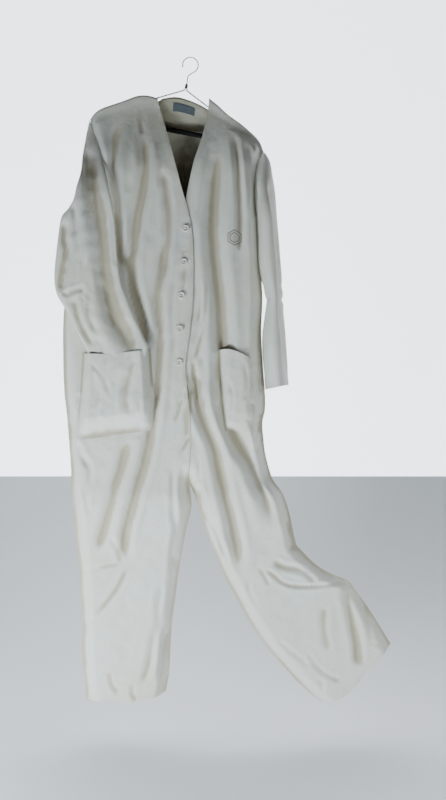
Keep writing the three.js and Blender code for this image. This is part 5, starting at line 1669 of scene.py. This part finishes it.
back_knee_right = knee_right - back_start_right
back_knee_left = knee_left - back_start_left
cuts = [
    (right_front_cloth, cut_size(PATTERN["right_front"][: KNEE_ROW_RIGHT + 1], wrap=WRAP_LENGTH)),
    (left_front_cloth, cut_size(PATTERN["left_front"][: KNEE_ROW_LEFT + 1], wrap=WRAP_LENGTH)),
    (right_shin_front, cut_size(PATTERN["right_front"][KNEE_ROW_RIGHT:])),
    (left_shin_front, cut_size(PATTERN["left_front"][KNEE_ROW_LEFT:])),
    (right_back_cloth, cut_size(PATTERN["right_back"][: back_knee_right + 1])),
    (left_back_cloth, cut_size(PATTERN["left_back"][: back_knee_left + 1])),
    (right_shin_back, cut_size(PATTERN["right_back"][back_knee_right:])),
    (left_shin_back, cut_size(PATTERN["left_back"][back_knee_left:])),
    (yoke_cloth, cut_size(PATTERN["yoke"], allowance=1.0)),
    (upper_right, cut_size(plain_right_sleeve[: ELBOW_ROW_RIGHT + 1], around=True)),
    (lower_right, cut_size(plain_right_sleeve[ELBOW_ROW_RIGHT:], around=True)),
    (upper_left, cut_size(plain_left_sleeve[: ELBOW_ROW_LEFT + 1], around=True)),
    (lower_left, cut_size(plain_left_sleeve[ELBOW_ROW_LEFT:], around=True)),
]
POCKET_TURNING = 16.0  # the hem turned in at a pocket's mouth
POCKET_FULLNESS_RIGHT, POCKET_FULLNESS_LEFT = 30.0, 6.0  # extra width that lets each pocket belly out
LINE_THROUGH_NECK = 48  # the yoke's column that runs down from the neck


def run_of(line):
    """Length of a line of points."""
    return float(np.linalg.norm(np.diff(line, axis=0), axis=1).sum())


facing_rows = slice(1, facing_end - WRAP_ROWS)
right_facing_run = run_of(PATTERN["right_front"][facing_rows, -1])
left_facing_run = run_of(PATTERN["left_front"][facing_rows, -1])
neck_run = run_of(PATTERN["yoke"][0, neck_low : neck_high + 1])
yoke_step = run_of(PATTERN["yoke"][:, LINE_THROUGH_NECK]) / (len(PATTERN["yoke"]) - 1)
neck_long = (NECK_ROWS.stop - NECK_ROWS.start - 1) * yoke_step
label_long = (LABEL_ROWS.stop - LABEL_ROWS.start - 1) * yoke_step
label_wide = neck_run * (LABEL_COLUMNS - 1) / (neck_high - neck_low)
right_wide, right_long = flat_edges(*RIGHT_POCKET_EDGES)
left_wide, left_long = flat_edges(*LEFT_POCKET_EDGES)
small = [
    (right_pocket_cloth, right_wide + POCKET_FULLNESS_RIGHT, right_long),
    (left_pocket_cloth, left_wide + POCKET_FULLNESS_LEFT, left_long),
    (right_pocket_fold, right_wide, POCKET_TURNING), (left_pocket_fold, left_wide, POCKET_TURNING),
    (right_facing_cloth, FACING_WIDE, right_facing_run), (left_facing_cloth, FACING_WIDE, left_facing_run),
    (neck_facing_cloth, neck_run, neck_long), (neck_label_cloth, label_wide, label_long),
]
cuts += [(piece, ((round(w * MM, 3), round(h * MM, 3)), None)) for piece, w, h in small]
for piece, (flat, area) in cuts:
    print(piece.name, "cut", flat, "area", area)

# %% [markdown]
# ## Floor, backdrop and light
# The suit hangs in front of a plain pale wall above a pale floor, in soft light from low in front.

# %% Stage
stage_finish, tree, principled = material("plain stage", Specular_IOR_Level=0.1)
principled.inputs["Base Color"].default_value = (0.86, 0.88, 0.9, 1)
principled.inputs["Roughness"].default_value = 0.9
FLOOR, WALL, WIDE = -1.80, 1.1, 9.0
bend = [(-4.0, FLOOR), (WALL - 0.8, FLOOR)]
bend += [
    (WALL - 0.8 + 0.8 * math.sin(t), FLOOR + 0.8 - 0.8 * math.cos(t))
    for t in np.linspace(0.1, math.pi / 2, 14)
]
bend += [(WALL, 3.5)]
points = [(x / MM, y / MM, z / MM) for x in (-WIDE / 2, WIDE / 2) for y, z in bend]
count = len(bend)
faces = [(i, i + 1, count + i + 1, count + i) for i in range(count - 1)]
sweep = mesh_object("pale_sweep", points, faces, stage_finish)
wall_glow, tree, principled = material("lit wall", Roughness=0.9, Emission_Strength=3.0)
principled.inputs["Base Color"].default_value = (0.86, 0.88, 0.9, 1)
principled.inputs["Emission Color"].default_value = (0.9, 0.95, 1.0, 1)
backdrop = mesh_object("lit_backdrop", [
    (x, (WALL - 0.02) / MM, z) for x, z in
    ((-WIDE / 2 / MM, -2600), (WIDE / 2 / MM, -2600), (WIDE / 2 / MM, 3500), (-WIDE / 2 / MM, 3500))
], [(0, 1, 2, 3)], wall_glow)

# %% Light
world = bpy.data.worlds.new("studio")
world.use_nodes = True
world.node_tree.nodes["Background"].inputs[0].default_value = (1.0, 0.9, 0.74, 1)
world.node_tree.nodes["Background"].inputs[1].default_value = 0.035
scene.world = world


def soft_light(name, place, aim, size, power, colour=(1, 1, 1)):
    lamp = bpy.data.lights.new(name, "AREA")
    lamp.shape = "RECTANGLE"
    lamp.size, lamp.size_y = size
    lamp.energy = power
    lamp.color = colour
    made = bpy.data.objects.new(name, lamp)
    made.location = place
    made.rotation_euler = (Vector(aim) - Vector(place)).to_track_quat("-Z", "Y").to_euler()
    made.visible_camera = False
    scene.collection.objects.link(made)
    return made


soft_light("key", (-0.95, -0.9, -1.72), (0.05, 0.0, -1.05), (0.5, 0.4), 37, (0.8, 0.92, 1.0))
soft_light("front fill", (0.75, -1.1, -1.7), (0.2, 0.0, -1.2), (0.6, 0.3), 10, (0.82, 0.93, 1.0))
